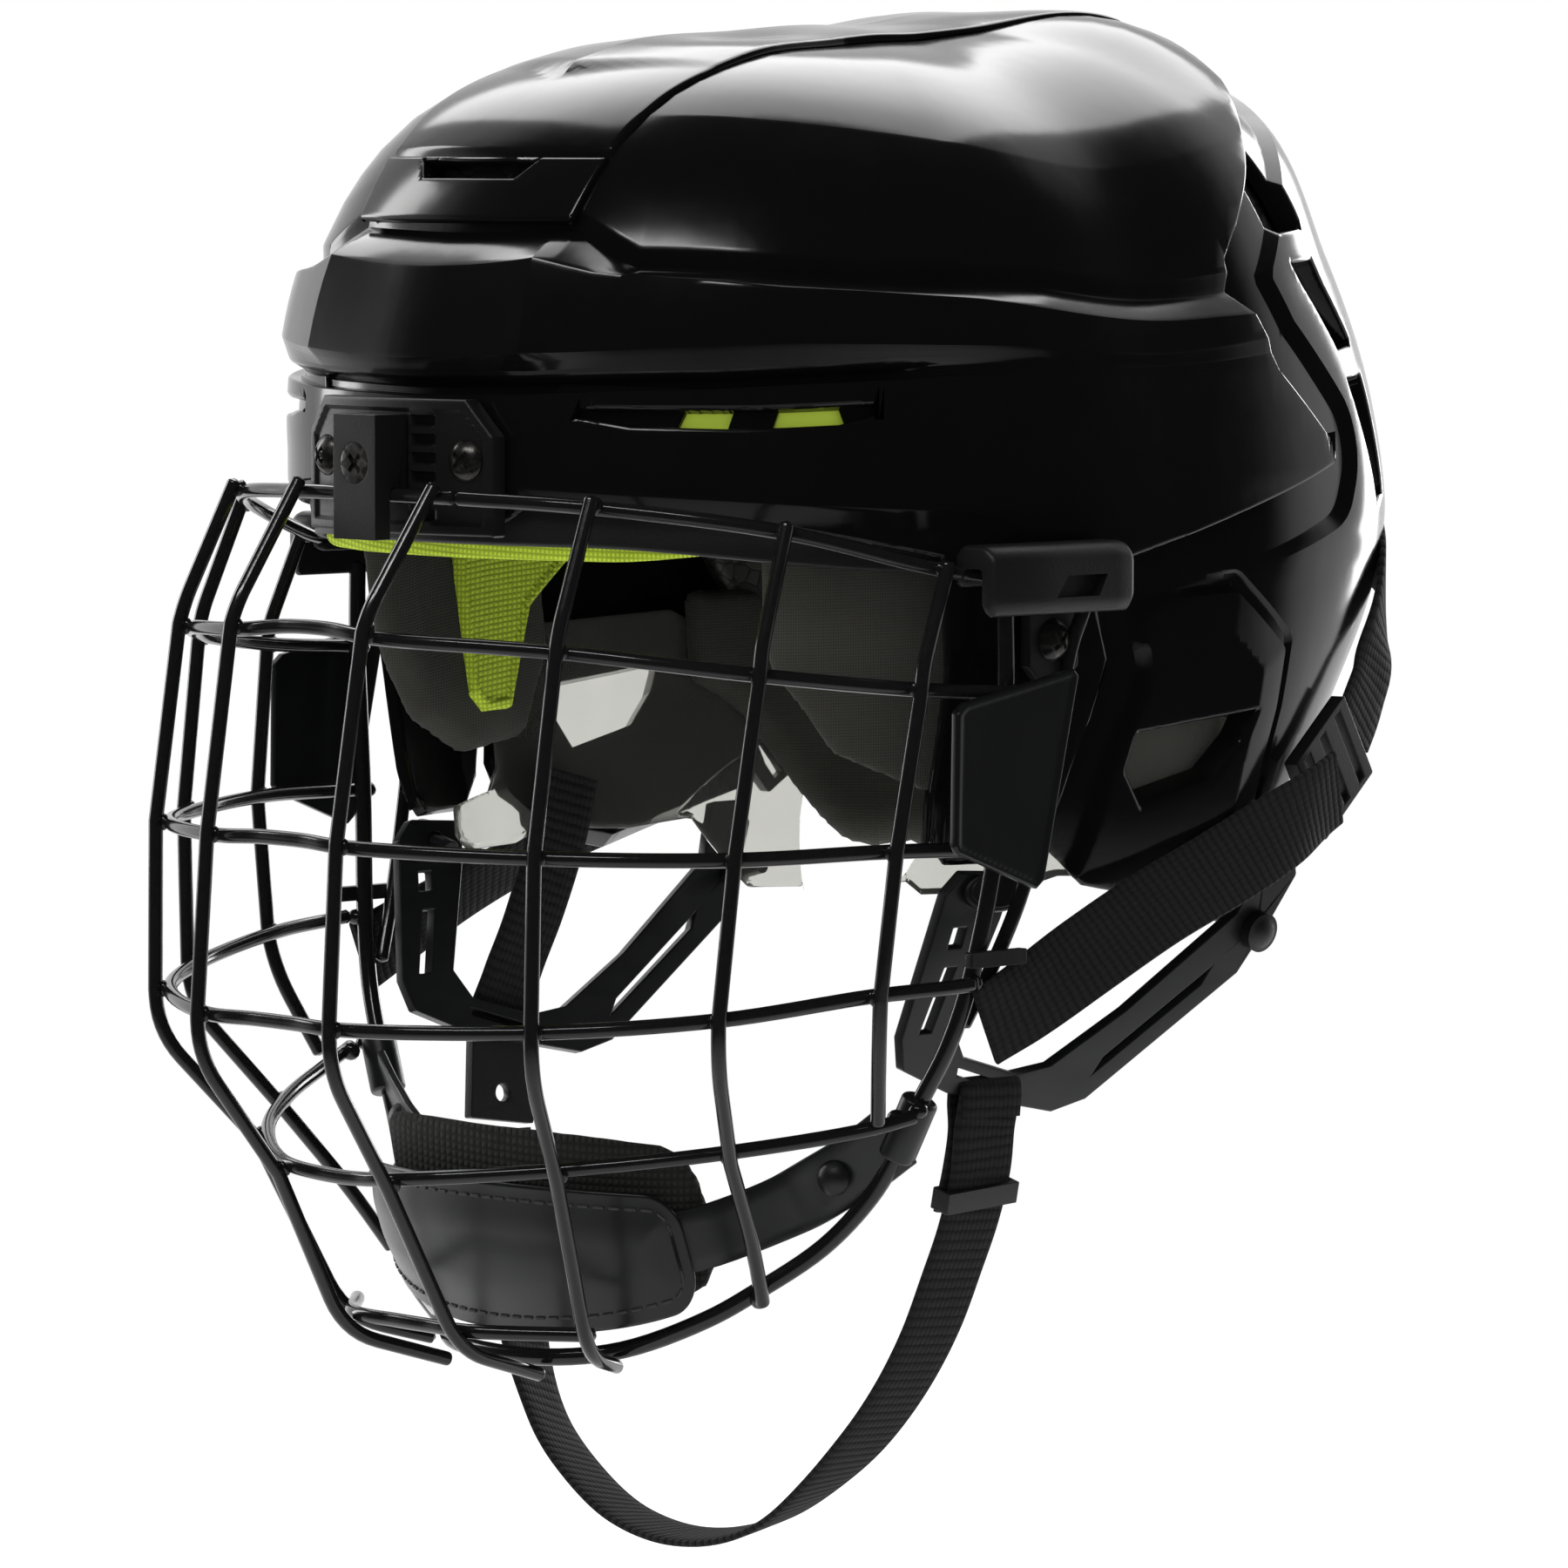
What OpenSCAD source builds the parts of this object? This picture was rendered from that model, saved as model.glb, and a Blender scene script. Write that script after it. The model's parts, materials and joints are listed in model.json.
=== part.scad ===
// Hockey helmet with a wire cage, youth size, in millimetres.
// Frame: +Z up, the face looks along -Y, the wearer's left is +X.
// The origin is the middle of the head, level with the lower edge of the brow.

/* [Helmet] */
// Outside width of the shell
helmet_width = 188; // [184:1:192]
// Outside length of the shell
helmet_length = 243; // [238:1:248]
// Height of the shell above the brow line
shell_rise = 109; // [106:1:112]
// Wall of both shell pieces
shell_wall = 3; // [2.6:0.1:3.2]
// Running gap between the front and the rear shell
shell_gap = 0.5; // [0.4:0.1:0.7]
// Thickness of the foam liners
liner_thick = 10; // [8:1:12]
// How far the rear shell slides in to shorten the helmet
size_travel = 10; // [6:1:10]

/* [Cage] */
// Diameter of the cage's wires
wire_d = 2.9; // [2.6:0.1:3.2]
// Diameter of the frame wire round the cage's edge
frame_d = 3.5; // [3.2:0.1:3.8]
// Running clearance of the hinge bar in the centre clip, all round
hinge_clear = 0.05; // [0.03:0.01:0.09]

/* [Straps] */
// Width of the webbing
web_width = 16; // [13:1:17]
// Thickness of the webbing
web_thick = 1.5; // [1.2:0.1:1.7]

/* [View] */
// Node to build, or all

/* [Hidden] */
$fn = 32;
kx = helmet_width / 188;
ky = helmet_length / 243;
kz = shell_rise / 109;
wr = wire_d / 2;
fr = frame_d / 2;
// the hinge bar's centre line
hinge_y = -121.5 * ky;
hinge_z = 15.5 * kz;

// small helpers
function unit(v) = v / norm(v);
function flip(p) = [-p[0], p[1], p[2]];
function pm(p) = [p[0] * kx, p[1] * ky, p[2] * kz];
function sum3(v) = v[0] + v[1] + v[2];
function cat(v) = [for (a = v) for (b = a) b];
module both() { children(); mirror([1, 0, 0]) children(); }

// The head form: distance from the origin in each direction. Rows go from the face (0)
// round the side (90) to the back (180), columns from low (-45) to the crown (90).
lat = [-45, -20, 0, 15, 30, 45, 60, 75, 90];
form = [
  [118, 114, 114, 117, 121, 122.5, 114.5, 105.5, 103.5],
  [116, 111, 110, 115, 121, 122.5, 114.5, 105.5, 103.5],
  [113, 101, 100, 105, 112, 116, 111.5, 106, 103.5],
  [112, 97, 94, 96, 102, 108, 108.5, 106, 103.5],
  [114, 104.5, 104, 105, 110, 116, 114, 108, 103.5],
  [115, 110, 117.5, 119, 121, 126, 123, 111, 103.5],
  [120, 115, 122.5, 124, 124, 126, 122, 111.5, 103.5]];
function row(k) = form[k < 0 ? -k : k > 6 ? 12 - k : k];
function spline(a, b, c, d, t) =
  0.5 * (2 * b + (c - a) * t + (2 * a - 5 * b + 4 * c - d) * t * t + (3 * b - a - 3 * c + d) * t * t * t);
function slope(r, k) =
  k == 0 ? (r[1] - r[0]) / (lat[1] - lat[0]) :
  k == 8 ? 0 : (r[k + 1] - r[k - 1]) / (lat[k + 1] - lat[k - 1]);
function cell(th, k = 0) = k >= 7 || th < lat[k + 1] ? k : cell(th, k + 1);
function along(r, th) =
  let (j = cell(th), h = lat[j + 1] - lat[j], s = (th - lat[j]) / h,
    a = slope(r, j) * h, b = slope(r, j + 1) * h)
  (2 * s * s * s - 3 * s * s + 1) * r[j] + (s * s * s - 2 * s * s + s) * a
  + (3 * s * s - 2 * s * s * s) * r[j + 1] + (s * s * s - s * s) * b;
function wrapped(az) = abs((az + 540) % 360 - 180);
function reach(az, th) =
  let (p = wrapped(az), i = min(5, floor(p / 30)), t = p / 30 - i)
  spline(along(row(i - 1), th), along(row(i), th), along(row(i + 1), th), along(row(i + 2), th), t);
// the brow band stands out from the sides of the shell
band_out = 3.5;
function ramp(x, a, b) = let (t = min(1, max(0, (x - a) / (b - a)))) t * t * (3 - 2 * t);
function band(az, th) =
  band_out * min(ramp(th, 19, 20.5), 1 - ramp(th, 27.5, 30)) * (1 - ramp(wrapped(az), 96, 104));
// the rear shell is drawn in at the temples, so that it can slide in under the front shell
function tuck(az, th) =
  2.6 * (1 - ramp(wrapped(az), 96, 116)) * (1 - ramp(th, 22, 50)) + 0.7 * ramp(th, 42, 56);
function onto(az, th, off, b = 0, c = 0) =
  let (r = reach(az, th) + off + b * band(az, th) - c * tuck(az, th))
  [r * cos(th) * sin(az) * kx, -r * cos(th) * cos(az) * ky, r * sin(th) * kz];

shell_rows = [-45, -32, -18, -5, 5, 13, 19, 20.5, 27.5, 30, 37, 46, 56, 66, 76, 84];
foam_rows = [-44, -26, -8, 8, 24, 40, 56, 70, 82];

// A dome between two distances from the head form, open below.
module dome(outer, inner, rows = shell_rows, cols = 40, b = 0, c = 0) {
  n = len(rows);
  m = cols * n;
  pts = concat(
    [for (th = rows) for (k = [0 : cols - 1]) onto(360 * k / cols, th, outer, b, c)],
    [for (th = rows) for (k = [0 : cols - 1]) onto(360 * k / cols, th, inner, b, c)],
    [onto(0, 90, outer), onto(0, 90, inner)]);
  function at(s, i, k) = s * m + i * cols + k % cols;
  faces = concat(
    cat([for (i = [0 : n - 2]) for (k = [0 : cols - 1]) [
      [at(0, i, k), at(0, i + 1, k + 1), at(0, i, k + 1)],
      [at(0, i, k), at(0, i + 1, k), at(0, i + 1, k + 1)],
      [at(1, i, k), at(1, i, k + 1), at(1, i + 1, k + 1)],
      [at(1, i, k), at(1, i + 1, k + 1), at(1, i + 1, k)]]]),
    cat([for (k = [0 : cols - 1]) [
      [at(0, n - 1, k), 2 * m, at(0, n - 1, k + 1)],
      [at(1, n - 1, k), at(1, n - 1, k + 1), 2 * m + 1],
      [at(0, 0, k), at(0, 0, k + 1), at(1, 0, k + 1)],
      [at(0, 0, k), at(1, 0, k + 1), at(1, 0, k)]]]));
  polyhedron(pts, faces);
}

// A prism across the helmet with a side view outline of y, z points.
module side(outline, x0 = -160, x1 = 160)
  translate([x0, 0, 0]) rotate([90, 0, 90])
    linear_extrude(x1 - x0) polygon([for (p = outline) [p[0] * ky, p[1] * kz]]);

front_side = [[-160, 8], [-112, 8], [-109.5, 14], [-80, 10], [-53, 4], [-50, -20], [-50, -50],
  [-45, -56], [-29, -56], [-24, -50], [-19, -32], [-13, -20], [-18, -7], [-11, 2.5], [10, 8],
  [50, 19], [52, 22], [34, 38], [25, 54], [25, 60], [45, 80], [60, 95], [63, 140], [-160, 140]];
rear_side = [[46, 140], [45, 95], [30, 80], [8, 62], [8, 50], [18, 36], [-20, 14], [-25, 0],
  [-25, -10], [-20, -22], [-24.5, -46], [-21, -53], [-11, -60], [9, -64], [30, -59], [44, -50], [56, -43],
  [66, -36], [84, -31], [150, -31], [150, 140]];
front_foam = [[-160, 11], [-108, 16], [-80, 12], [-66, 7], [-42, 7], [-38, 13], [-2, 35],
  [-7, 50], [-7, 62], [15, 80], [29, 95], [30, 140], [-160, 140]];
// the rear liner starts behind the front one, with room for the travel
foam_gap = size_travel + 6;
rear_foam = concat(
  [for (p = [[30, 140], [29, 95], [15, 80], [-7, 62], [-7, 50], [0, 36], [6, 14], [20, 0]])
    [p[0] + foam_gap, p[1]]],
  [[44, -16], [50, -27], [150, -27], [150, 140]]);
vent_slit = [[-105, 31], [-96, 29.8], [-80, 29.6], [-67, 31.2], [-64, 32.6], [-80, 32.2], [-102, 32.8]];
rear_vents = [[[41, 83], [50, 84], [60, 65], [48, 64]], [[50, 58], [62, 58.5], [75, 42], [64, 41]],
  [[66, 35], [77, 35.5], [85, 12], [78, 10]]];
lobe_vent = [[-4, -38], [-2, -31], [29, -28], [26, -34], [19, -41], [1, -45]];

module front_shell() color("#1b1b1c") resize([0, 0, 0]) difference() {
  intersection() { dome(0, -shell_wall, b = 1); side(front_side); }
  side(vent_slit, 32, 160);
  side(vent_slit, -160, -32);
  brow_vent();
  both() at_side_screw() rotate([0, 90, 0]) cylinder(d = 3.1, h = 20, center = true);
  both() brow_screw_space();
  centre_screw_space();
}

module rear_shell() color("#141415") resize([0, 0, 0]) difference() {
  intersection() {
    dome(-shell_wall - shell_gap, -2 * shell_wall - shell_gap, c = 1);
    side(rear_side);
  }
  for (v = rear_vents) { side(v, 28, 160); side(v, -160, -28); }
  side(lobe_vent);
}

// The raised panel over the crown, and the panel with the brow vent in front of it.
panel_plan = [[0, -120], [30, -106], [33, -92], [36, -80], [36.5, -62], [34.5, -34], [32, 0],
  [31, 40], [30, 70]];
module brow_vent() translate([-17 * kx, -130 * ky, 75.6 * kz]) cube([34 * kx, 60 * ky, 3.4 * kz + 0.02]);
module panel(y0, y1, z0) resize([0, 0, 0]) difference() {
  intersection() {
    dome(2.6, 0.1);
    linear_extrude(140)
      polygon([for (p = concat(panel_plan, [for (i = [8 : -1 : 0]) flip(panel_plan[i])]))
        [p[0] * kx, p[1] * ky]]);
    side([[y0, z0], [y0, 140], [y1, 140], [y1, z0]]);
  }
  brow_vent();
}
module crown_panel() color("#222223") panel(-110, 58, 79.4);
module nose_panel() color("#242425") intersection() {
  panel(-118, -60, 67);
  translate([-80, -160, 0]) cube([160, 160, 79 * kz]);
}

module skin(outer, inner, outline, s) resize([0, 0, 0]) intersection() {
  dome(outer, inner, foam_rows, 30);
  side(outline, s > 0 ? 0 : -160, s > 0 ? 160 : 0);
}
module vent_liners() color("#a6d63c") both()
  skin(-shell_wall - 0.3, -shell_wall - 2.6, [[-108, 26], [-60, 26], [-58, 36], [-108, 36]], 1);
module front_liner() color("#2b2b2d") resize([0, 0, 0]) intersection() {
  dome(-shell_wall - 3, -shell_wall - 3 - liner_thick, foam_rows, 30);
  side(front_foam);
}
module rear_liner() color("#2b2b2d") resize([0, 0, 0]) intersection() {
  dome(-2 * shell_wall - 1.6, -2 * shell_wall - 1.6 - liner_thick, foam_rows, 30, c = 1);
  side(rear_foam);
}
pad_out = -shell_wall - 3 - liner_thick - 0.3;
module brow_pad() color("#a6d63c") resize([0, 0, 0]) intersection() {
  dome(pad_out, pad_out - 5.2, foam_rows, 30);
  side([[-160, 9], [-104, 12], [-60, 7], [-46, 8], [-46, 24], [-160, 30]]);
}
temple_side = [[-76, 6.8], [-70, -18], [-58, -34], [-40, -42], [-20, -40], [-12, -24], [-12, 6.8]];
module temple_pad(s) color("#303033") skin(-12.5, -19, temple_side, s);
module temple_tab(s) color("#a6d63c")
  skin(-19.2, -21.4, [[-34, 5], [-31, -24], [-26, -32], [-16, -32], [-10, -14], [-6, 5]], s);

// The plate on the brow, its ladder, and the clip that the hinge bar turns in.
plate_y = -118.4 * ky;
plate_r = 90;
plate_wall = 2.6;
ladder_out = 1;
brow_screw_x = 20.5 * kx;
brow_screw_y = plate_y + plate_r - sqrt(plate_r * plate_r - brow_screw_x * brow_screw_x) - 0.07;
module at_brow_screw()
  translate([brow_screw_x, brow_screw_y, 22.4 * kz]) rotate([90, 0, asin(brow_screw_x / plate_r)]) children();
module brow_screw_space() at_brow_screw() translate([0, 0, -10]) cylinder(d = 3.1, h = 12);
module brow_plate() color("#37373a") {
  difference() {
    intersection() {
      translate([0, plate_y + plate_r, 21 * kz]) cylinder(r = plate_r, h = 40, center = true, $fn = 96);
      translate([0, 0, 21 * kz]) rotate([90, 0, 0]) linear_extrude(0.5 - plate_y)
        polygon([[-27, -13], [27, -13], [27, 6], [21, 13], [-21, 13], [-27, 6]]);
    }
    translate([0, plate_y + plate_r + plate_wall, 21 * kz]) cylinder(r = plate_r, h = 60, center = true, $fn = 96);
    both() brow_screw_space();
    centre_screw_space();
  }
  for (z = [10 : 5 : 30]) translate([8 * kx, plate_y - ladder_out, z * kz]) cube([4, 1.6, 2]);
}
module centre_screw_space() translate([0, hinge_y - 5.01, hinge_z + 6.1]) rotate([-90, 0, 0]) {
  cylinder(d1 = 8.1, d2 = 3.1, h = 2.3);
  cylinder(d = 3.1, h = 15);
}
module centre_clip() color("#3a3a3d") difference() {
  translate([-6.3, hinge_y - 5, hinge_z - 8.5]) cube([12.6, 8, 24]);
  translate([0, hinge_y, hinge_z]) rotate([0, 90, 0]) cylinder(r = wr + hinge_clear, h = 20, center = true);
  translate([-7, hinge_y - 1.3, hinge_z - 10]) cube([14, 12, 9.6]);
  centre_screw_space();
}
module cross_slot(d, w) for (a = [45, 135]) rotate(a) cube([d, w, 1.6], center = true);
module centre_screw() color("#6f6f72")
  translate([0, hinge_y - 5, hinge_z + 6.1]) rotate([-90, 0, 0]) difference() {
    union() {
      cylinder(d1 = 8, d2 = 3, h = 2.3);
      cylinder(d = 3, h = 12.4);
    }
    cross_slot(4.6, 1.1);
  }
module dome_head(d, h) rotate_extrude() intersection() {
  translate([0, h - (d * d / 4 + h * h) / (2 * h)]) circle(r = (d * d / 4 + h * h) / (2 * h), $fn = 64);
  square([d / 2, h]);
}
module dome_screw(d, h, shank) difference() {
  union() {
    dome_head(d, h);
    translate([0, 0, -shank]) cylinder(d = 3, h = shank + 0.2);
  }
  translate([0, 0, h]) cross_slot(d * 0.5, 1);
}
module brow_screws() color("#77777a") both() at_brow_screw() translate([0, 0, 0.1]) dome_screw(8, 2, 5.6);

// The hooks at the temples that hold the ends of the top bar: open below.
clip_x = 94 * (kx - 1);
module at_side_screw() translate([91 * kx, -32.4 * ky, -12 * kz]) children();
clip_form = [[93.2, -1], [93.2, 5.6], [94.6, 7.2], [102, 7.2], [104.4, 5], [104.4, -4.8], [103, -7],
  [101.3, -7], [101.3, 2.5], [95.2, 2.5], [95.2, -1]];
module side_clip() color("#333537") difference() {
  union() {
    translate([clip_x, -19 * ky, 0]) rotate([90, 0, 0]) linear_extrude(38) polygon(clip_form);
    translate([92.9 + clip_x, -39 * ky, -20 * kz]) cube([2.3, 13.5, 22]);
  }
  translate([102.4 + clip_x, -41 * ky, -2.4]) cube([20, 12, 3.4]);
  translate([90 + clip_x, -60 * ky, -4]) cube([8.5, 11, 8.4]);
  at_side_screw() rotate([0, 90, 0]) cylinder(d = 3.1, h = 20, center = true);
}
module side_screws() color("#6a6258") both() at_side_screw()
  translate([4.25 - 91 * (kx - 1) + clip_x, 0, 0]) rotate([0, 90, 0]) dome_screw(8.4, 2.4, 6.4);

// Wires. Each vertical is a list of centre points: end, bar 1, bend, bars 2 to 4, bend,
// bar 5, bend, end. Bars pass one wire diameter inside the verticals.
wires = [
  [[20, -123.3, 18.2], [20, -123.9, 17.3], [19.6, -139.6, -5.5], [19.6, -141.1, -9.5], [19.3, -147.5, -49.5],
    [19.7, -149.8, -84.2], [19.7, -149.6, -92.5], [16.4, -132.6, -116.2], [17.2, -115.4, -149],
    [13.6, -91.2, -156.5]],
  [[52.8, -112.6, 16.6], [53, -113.1, 15.4], [55.8, -123.4, -7.5], [56.1, -124.5, -11.7], [56.4, -130.4, -50.3],
    [56.1, -131, -83.4], [55.8, -130.6, -92], [44.6, -114.6, -113.6], [36.2, -99.2, -149.6],
    [27.2, -83.5, -154.3]],
  [[80.2, -88, 12], [80.5, -88.5, 10.6], [83, -97.2, -12], [83.2, -97.7, -16.3], [81.8, -102.9, -50.9],
    [79, -104.4, -81.5], [78.4, -104, -90], [67.2, -90.5, -110.3], [60, -78, -128], [55, -70.8, -140.6]],
  [[95, -60.4, 4.2], [95.2, -60.6, 2.8], [96.6, -68.4, -16], [96.7, -68.8, -19.7], [94.6, -73.3, -50.5],
    [90.8, -73.8, -78.4], [89.6, -73, -86], [82.6, -66.6, -103.6]]];
function bez(a, b, c, n) =
  [for (i = [0 : n]) let (t = i / n) (1 - t) * (1 - t) * a + 2 * t * (1 - t) * b + t * t * c];
// a polyline whose corner k is rounded over a length of r[k], if that isn't 0
function rounded(P, r, n = 3) = concat([P[0]],
  cat([for (i = [1 : len(P) - 2]) let (a = unit(P[i - 1] - P[i]), c = unit(P[i + 1] - P[i]))
    r[i] == 0 ? [P[i]] : bez(P[i] + a * r[i], P[i], P[i] + c * r[i], n)]), [P[len(P) - 1]]);
// a smooth curve through every point
function through(P, n) = concat(cat([for (i = [0 : len(P) - 2]) let (
    a = i == 0 ? 2 * P[0] - P[1] : P[i - 1], d = i == len(P) - 2 ? 2 * P[i + 1] - P[i] : P[i + 2])
    [for (k = [0 : n - 1]) spline(a, P[i], P[i + 1], d, k / n)]]), [P[len(P) - 1]]);
function heading(P, i) = let (n = len(P))
  i == 0 ? unit(P[1] - P[0]) : i == n - 1 ? unit(P[n - 1] - P[n - 2]) :
  unit(unit(P[i + 1] - P[i]) + unit(P[i] - P[i - 1]));
module sweep(P, ring, ref) {
  n = len(P);
  s = len(ring(0));
  pts = [for (i = [0 : n - 1]) let (t = heading(P, i), a = unit(cross(ref(i), t)), b = cross(t, a))
    for (q = ring(i)) P[i] + q[0] * a + q[1] * b];
  faces = concat(
    cat([for (i = [0 : n - 2]) for (k = [0 : s - 1]) let (a = i * s + k, b = i * s + (k + 1) % s)
      [[a, b + s, b], [a, a + s, b + s]]]),
    [for (k = [1 : s - 2]) [0, k, k + 1]],
    [for (k = [1 : s - 2]) let (e = (n - 1) * s) [e, e + k + 1, e + k]]);
  polyhedron(pts, faces);
}
module rod(P, r, up = [0, 0, 1], s = 8)
  sweep(P, function (i) [for (k = [0 : s - 1]) r * [cos(360 * (k + 0.5) / s), sin(360 * (k + 0.5) / s)]],
    function (i) up);

bends = [0, 0, 3.6, 0, 0, 0, 7, 0, 8, 0];
function wire_path(i) = rounded([for (p = wires[i]) pm(p)], bends);
module wire(i) color("#111112") rod(wire_path(i), wr, [1, 0, 0]);

// where a bar passes inside vertical i at level k, with the outward direction there
outward = [[0.02, -1, 0], [0.36, -0.93, 0], [0.78, -0.62, 0], [0.96, -0.28, 0]];
function bar_at(i, k, gap = 0.06) = let (w = wires[i], p = pm(w[k]),
    t = k == 1 ? unit(w[2] - w[1]) : k == 7 ? unit(w[7] - w[6]) : unit(w[k] - w[k - 1]),
    o = unit(outward[i] - (outward[i] * t) * t))
  p - (wire_d + gap) * o;
// the same inside the lower corner of vertical i
function corner_at(i) = let (w = wires[i], m = unit(w[7] - w[8]) + unit(w[9] - w[8]))
  pm(w[8]) + 2 * m + (wire_d + 0.1) * unit([0, m[1], m[2]]);
function mirrored(h) = concat([for (i = [len(h) - 1 : -1 : 0]) flip(h[i])], h);
module bar(h, n = 3) color("#111112") rod(through(mirrored(h), n), wr);
function top_half() = [[24 * kx, hinge_y, hinge_z], bar_at(1, 1), bar_at(2, 1), bar_at(3, 1),
  pm([98.4, -46, 0.2]), pm([98.6, -24, -1.6])];
module hinge_bar() color("#111112") translate([0, hinge_y, hinge_z]) rotate([0, 90, 0])
  cylinder(r = wr, h = 47.6 * kx, center = true);
module top_bar(s) color("#111112") mirror([s < 0 ? 1 : 0, 0, 0]) rod(through(top_half(), 4), wr);
module bar_2() bar([[6, -138.3 * ky, -9.4 * kz], bar_at(0, 3), bar_at(1, 3), bar_at(2, 3), bar_at(3, 3),
  pm([98.8, -48, -21.2]), pm([98.9, -41, -21.6])]);
module bar_3() bar([[6, -144.8 * ky, -49.4 * kz], bar_at(0, 4), bar_at(1, 4), bar_at(2, 4), bar_at(3, 4),
  pm([96.4, -48, -51]), pm([96.9, -41, -51])]);
module bar_4() bar([[6, -147.1 * ky, -84.2 * kz], bar_at(0, 5), bar_at(1, 5), bar_at(2, 5), bar_at(3, 5),
  pm([92.4, -56, -77.2]), pm([93, -50.6, -76.8])]);
module bar_5() bar([[5, -130.6 * ky, -115.4 * kz], bar_at(0, 7), bar_at(1, 7), bar_at(2, 7),
  pm([79.8, -66, -104.6]), pm([83.8, -57.4, -102.4])]);
module bar_6() bar([[5, corner_at(0)[1] - 0.6, corner_at(0)[2]], corner_at(0), corner_at(1)], 4);

frame_half = [[13.4, -89.6, -153.2], [26.6, -81.9, -151.2], [44, -75.4, -144], [52, -70, -138.4],
  [62, -61.4, -129.4], [70, -56.6, -119.5], [75.4, -54.6, -110.6], [80, -53.4, -101], [85.5, -51.2, -90],
  [89.4, -49, -77], [93.5, -46, -51], [95.6, -45.6, -21.4], [95.4, -45.6, -3.2]];
module frame_rod(r) rod(through(mirrored([for (p = frame_half) pm(p)]), 2), r, [0, 0.86, 0.5]);
module cage_frame() color("#111112") frame_rod(fr);

// plates at the sides of the cage
module side_plate() color("#2f2f31")
  translate([100.6 * kx, -48.4 * ky, -37.5 * kz]) rotate([0, 0, -3]) rotate([90, 0, 90])
    linear_extrude(1.8) polygon([[-15, 18], [-11, 20.6], [15, 18], [15, -18], [11, -21], [-15, -14.5]]);

// chin cup: a band that clips on the frame wire, a cover and a soft pad
function cup(a, off, z) =
  [(46 + off) * sin(a) * kx, (-67 - (26 + off) * cos(a)) * ky + (z + 132) * -0.35, z * kz];
// lo and hi give the lower and upper edge at a distance s from the middle, 0 to 1
module cup_part(a0, a1, out, in, lo, hi, n = 16) {
  pts = [for (i = [0 : n]) let (a = a0 + (a1 - a0) * i / n, s = abs(a) / 90)
    for (q = [[out, lo(s)], [out + 0.6, (lo(s) + hi(s)) / 2], [out, hi(s)],
      [in, hi(s)], [in - 0.6, (lo(s) + hi(s)) / 2], [in, lo(s)]]) cup(a, q[0], q[1])];
  faces = concat(
    cat([for (i = [0 : n - 1]) for (k = [0 : 5]) let (a = i * 6 + k, b = i * 6 + (k + 1) % 6)
      [[a, b, b + 6], [a, b + 6, a + 6]]]),
    [for (k = [1 : 4]) [0, k + 1, k]],
    [for (k = [1 : 4]) [n * 6, n * 6 + k, n * 6 + k + 1]]);
  polyhedron(pts, faces);
}
module chin_cup_pad() color("#2a2a29")
  cup_part(-84, 84, -1.3, -9.5, function (s) -148.5 + 15 * s * s, function (s) -107 - 4 * s * s, 12);
module chin_cup_cover() color("#1c1c1d")
  cup_part(-64, 64, 5, 3.5, function (s) -149 + 16 * s * s, function (s) -118 - 2 * s * s, 12);
// the band runs behind the cover and out to a sleeve on the frame wire at each side
band_half = concat([for (a = [8, 24, 40, 56, 70]) cup(a, 1.2, -134 + 6 * a / 70)],
  [pm([53.5, -63, -122]), pm([62, -60, -117]), pm([69, -57.8, -112.6]), pm([75.8, -55.7, -107.4])]);
module sleeve_way() translate(pm([77.9, -54.1, -105.6])) rotate([0, 25.6, 14.6]) children();
module chin_cup_band() color("#161617") resize([0, 0, 0]) difference() {
  union() {
    web(mirrored(band_half), function (i) [0, -0.3, 1], 13, 1.8);
    both() sleeve_way() cylinder(r = fr + 1.9, h = 13, center = true, $fn = 16);
  }
  frame_rod(fr + 0.3);
}
module chin_cup_rivets() color("#1f1f20") both()
  translate(pm([64.6, -61.3, -115.9])) rotate([0, 90, -70]) dome_head(7, 2);

// webbing: eight sided and flat, with its width along w(i)
module web(P, w, width = web_width, thick = web_thick)
  sweep(P, function (i) let (a = thick / 2, b = width / 2, c = 0.35)
    [[a, -b + c], [a, b - c], [a - c, b], [-a + c, b],
      [-a, b - c], [-a, -b + c], [-a + c, -b], [a - c, -b]], w);
cage_strap_route = [[92.4, -47.6, -85.4], [92.8, -38, -82], [92.2, -20, -76.4], [91, 0, -71], [90, 22, -64.6],
  [88.8, 42, -55.6], [85.5, 57.2, -46.6]];
module cage_strap() color("#2a292b")
  web(through([for (p = cage_strap_route) pm(p)], 2), function (i) [0, 0.3, 1]);
module strap_clip() color("#19191a") translate(pm([93.6, -46, -72.2])) cube([2, 15, 3], center = true);

// soft clear guards over the ears, the loops below them and their buttons
ear_side = [[-22, -18], [-24, -46], [-28, -51], [-42, -53], [-44, -60], [-38, -63], [-20, -62], [-12, -67],
  [12, -70], [28, -68], [35, -76], [45, -76], [50, -62], [54, -50], [46, -24], [30, -16]];
module ear_guard(s) color("#dcdcd2") skin(-9.6, -11.4, ear_side, s);
loop_tilt = 14;
loop_x = 76.4;
loop_z = -78;
module loop_space() translate(pm([loop_x, 0, loop_z])) rotate([0, loop_tilt, 0]) children();
module plate(t, outline, x = 0) translate([x - t / 2, 0, 0]) rotate([90, 0, 90]) linear_extrude(t)
  polygon([for (p = outline) [p[0] * ky, (p[1] - loop_z) * kz]]);
loop_outer = [[-30, -57], [-44, -56], [-48, -60], [-53, -89], [-51, -95.5], [-38, -101], [-8, -107.4],
  [1, -105.5], [38, -82], [44, -73], [50, -62], [48, -57], [40, -57], [35, -69], [8, -87.5],
  [-10.5, -97.5], [-20, -98.5], [-35, -94], [-39, -88], [-32, -66]];
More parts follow.
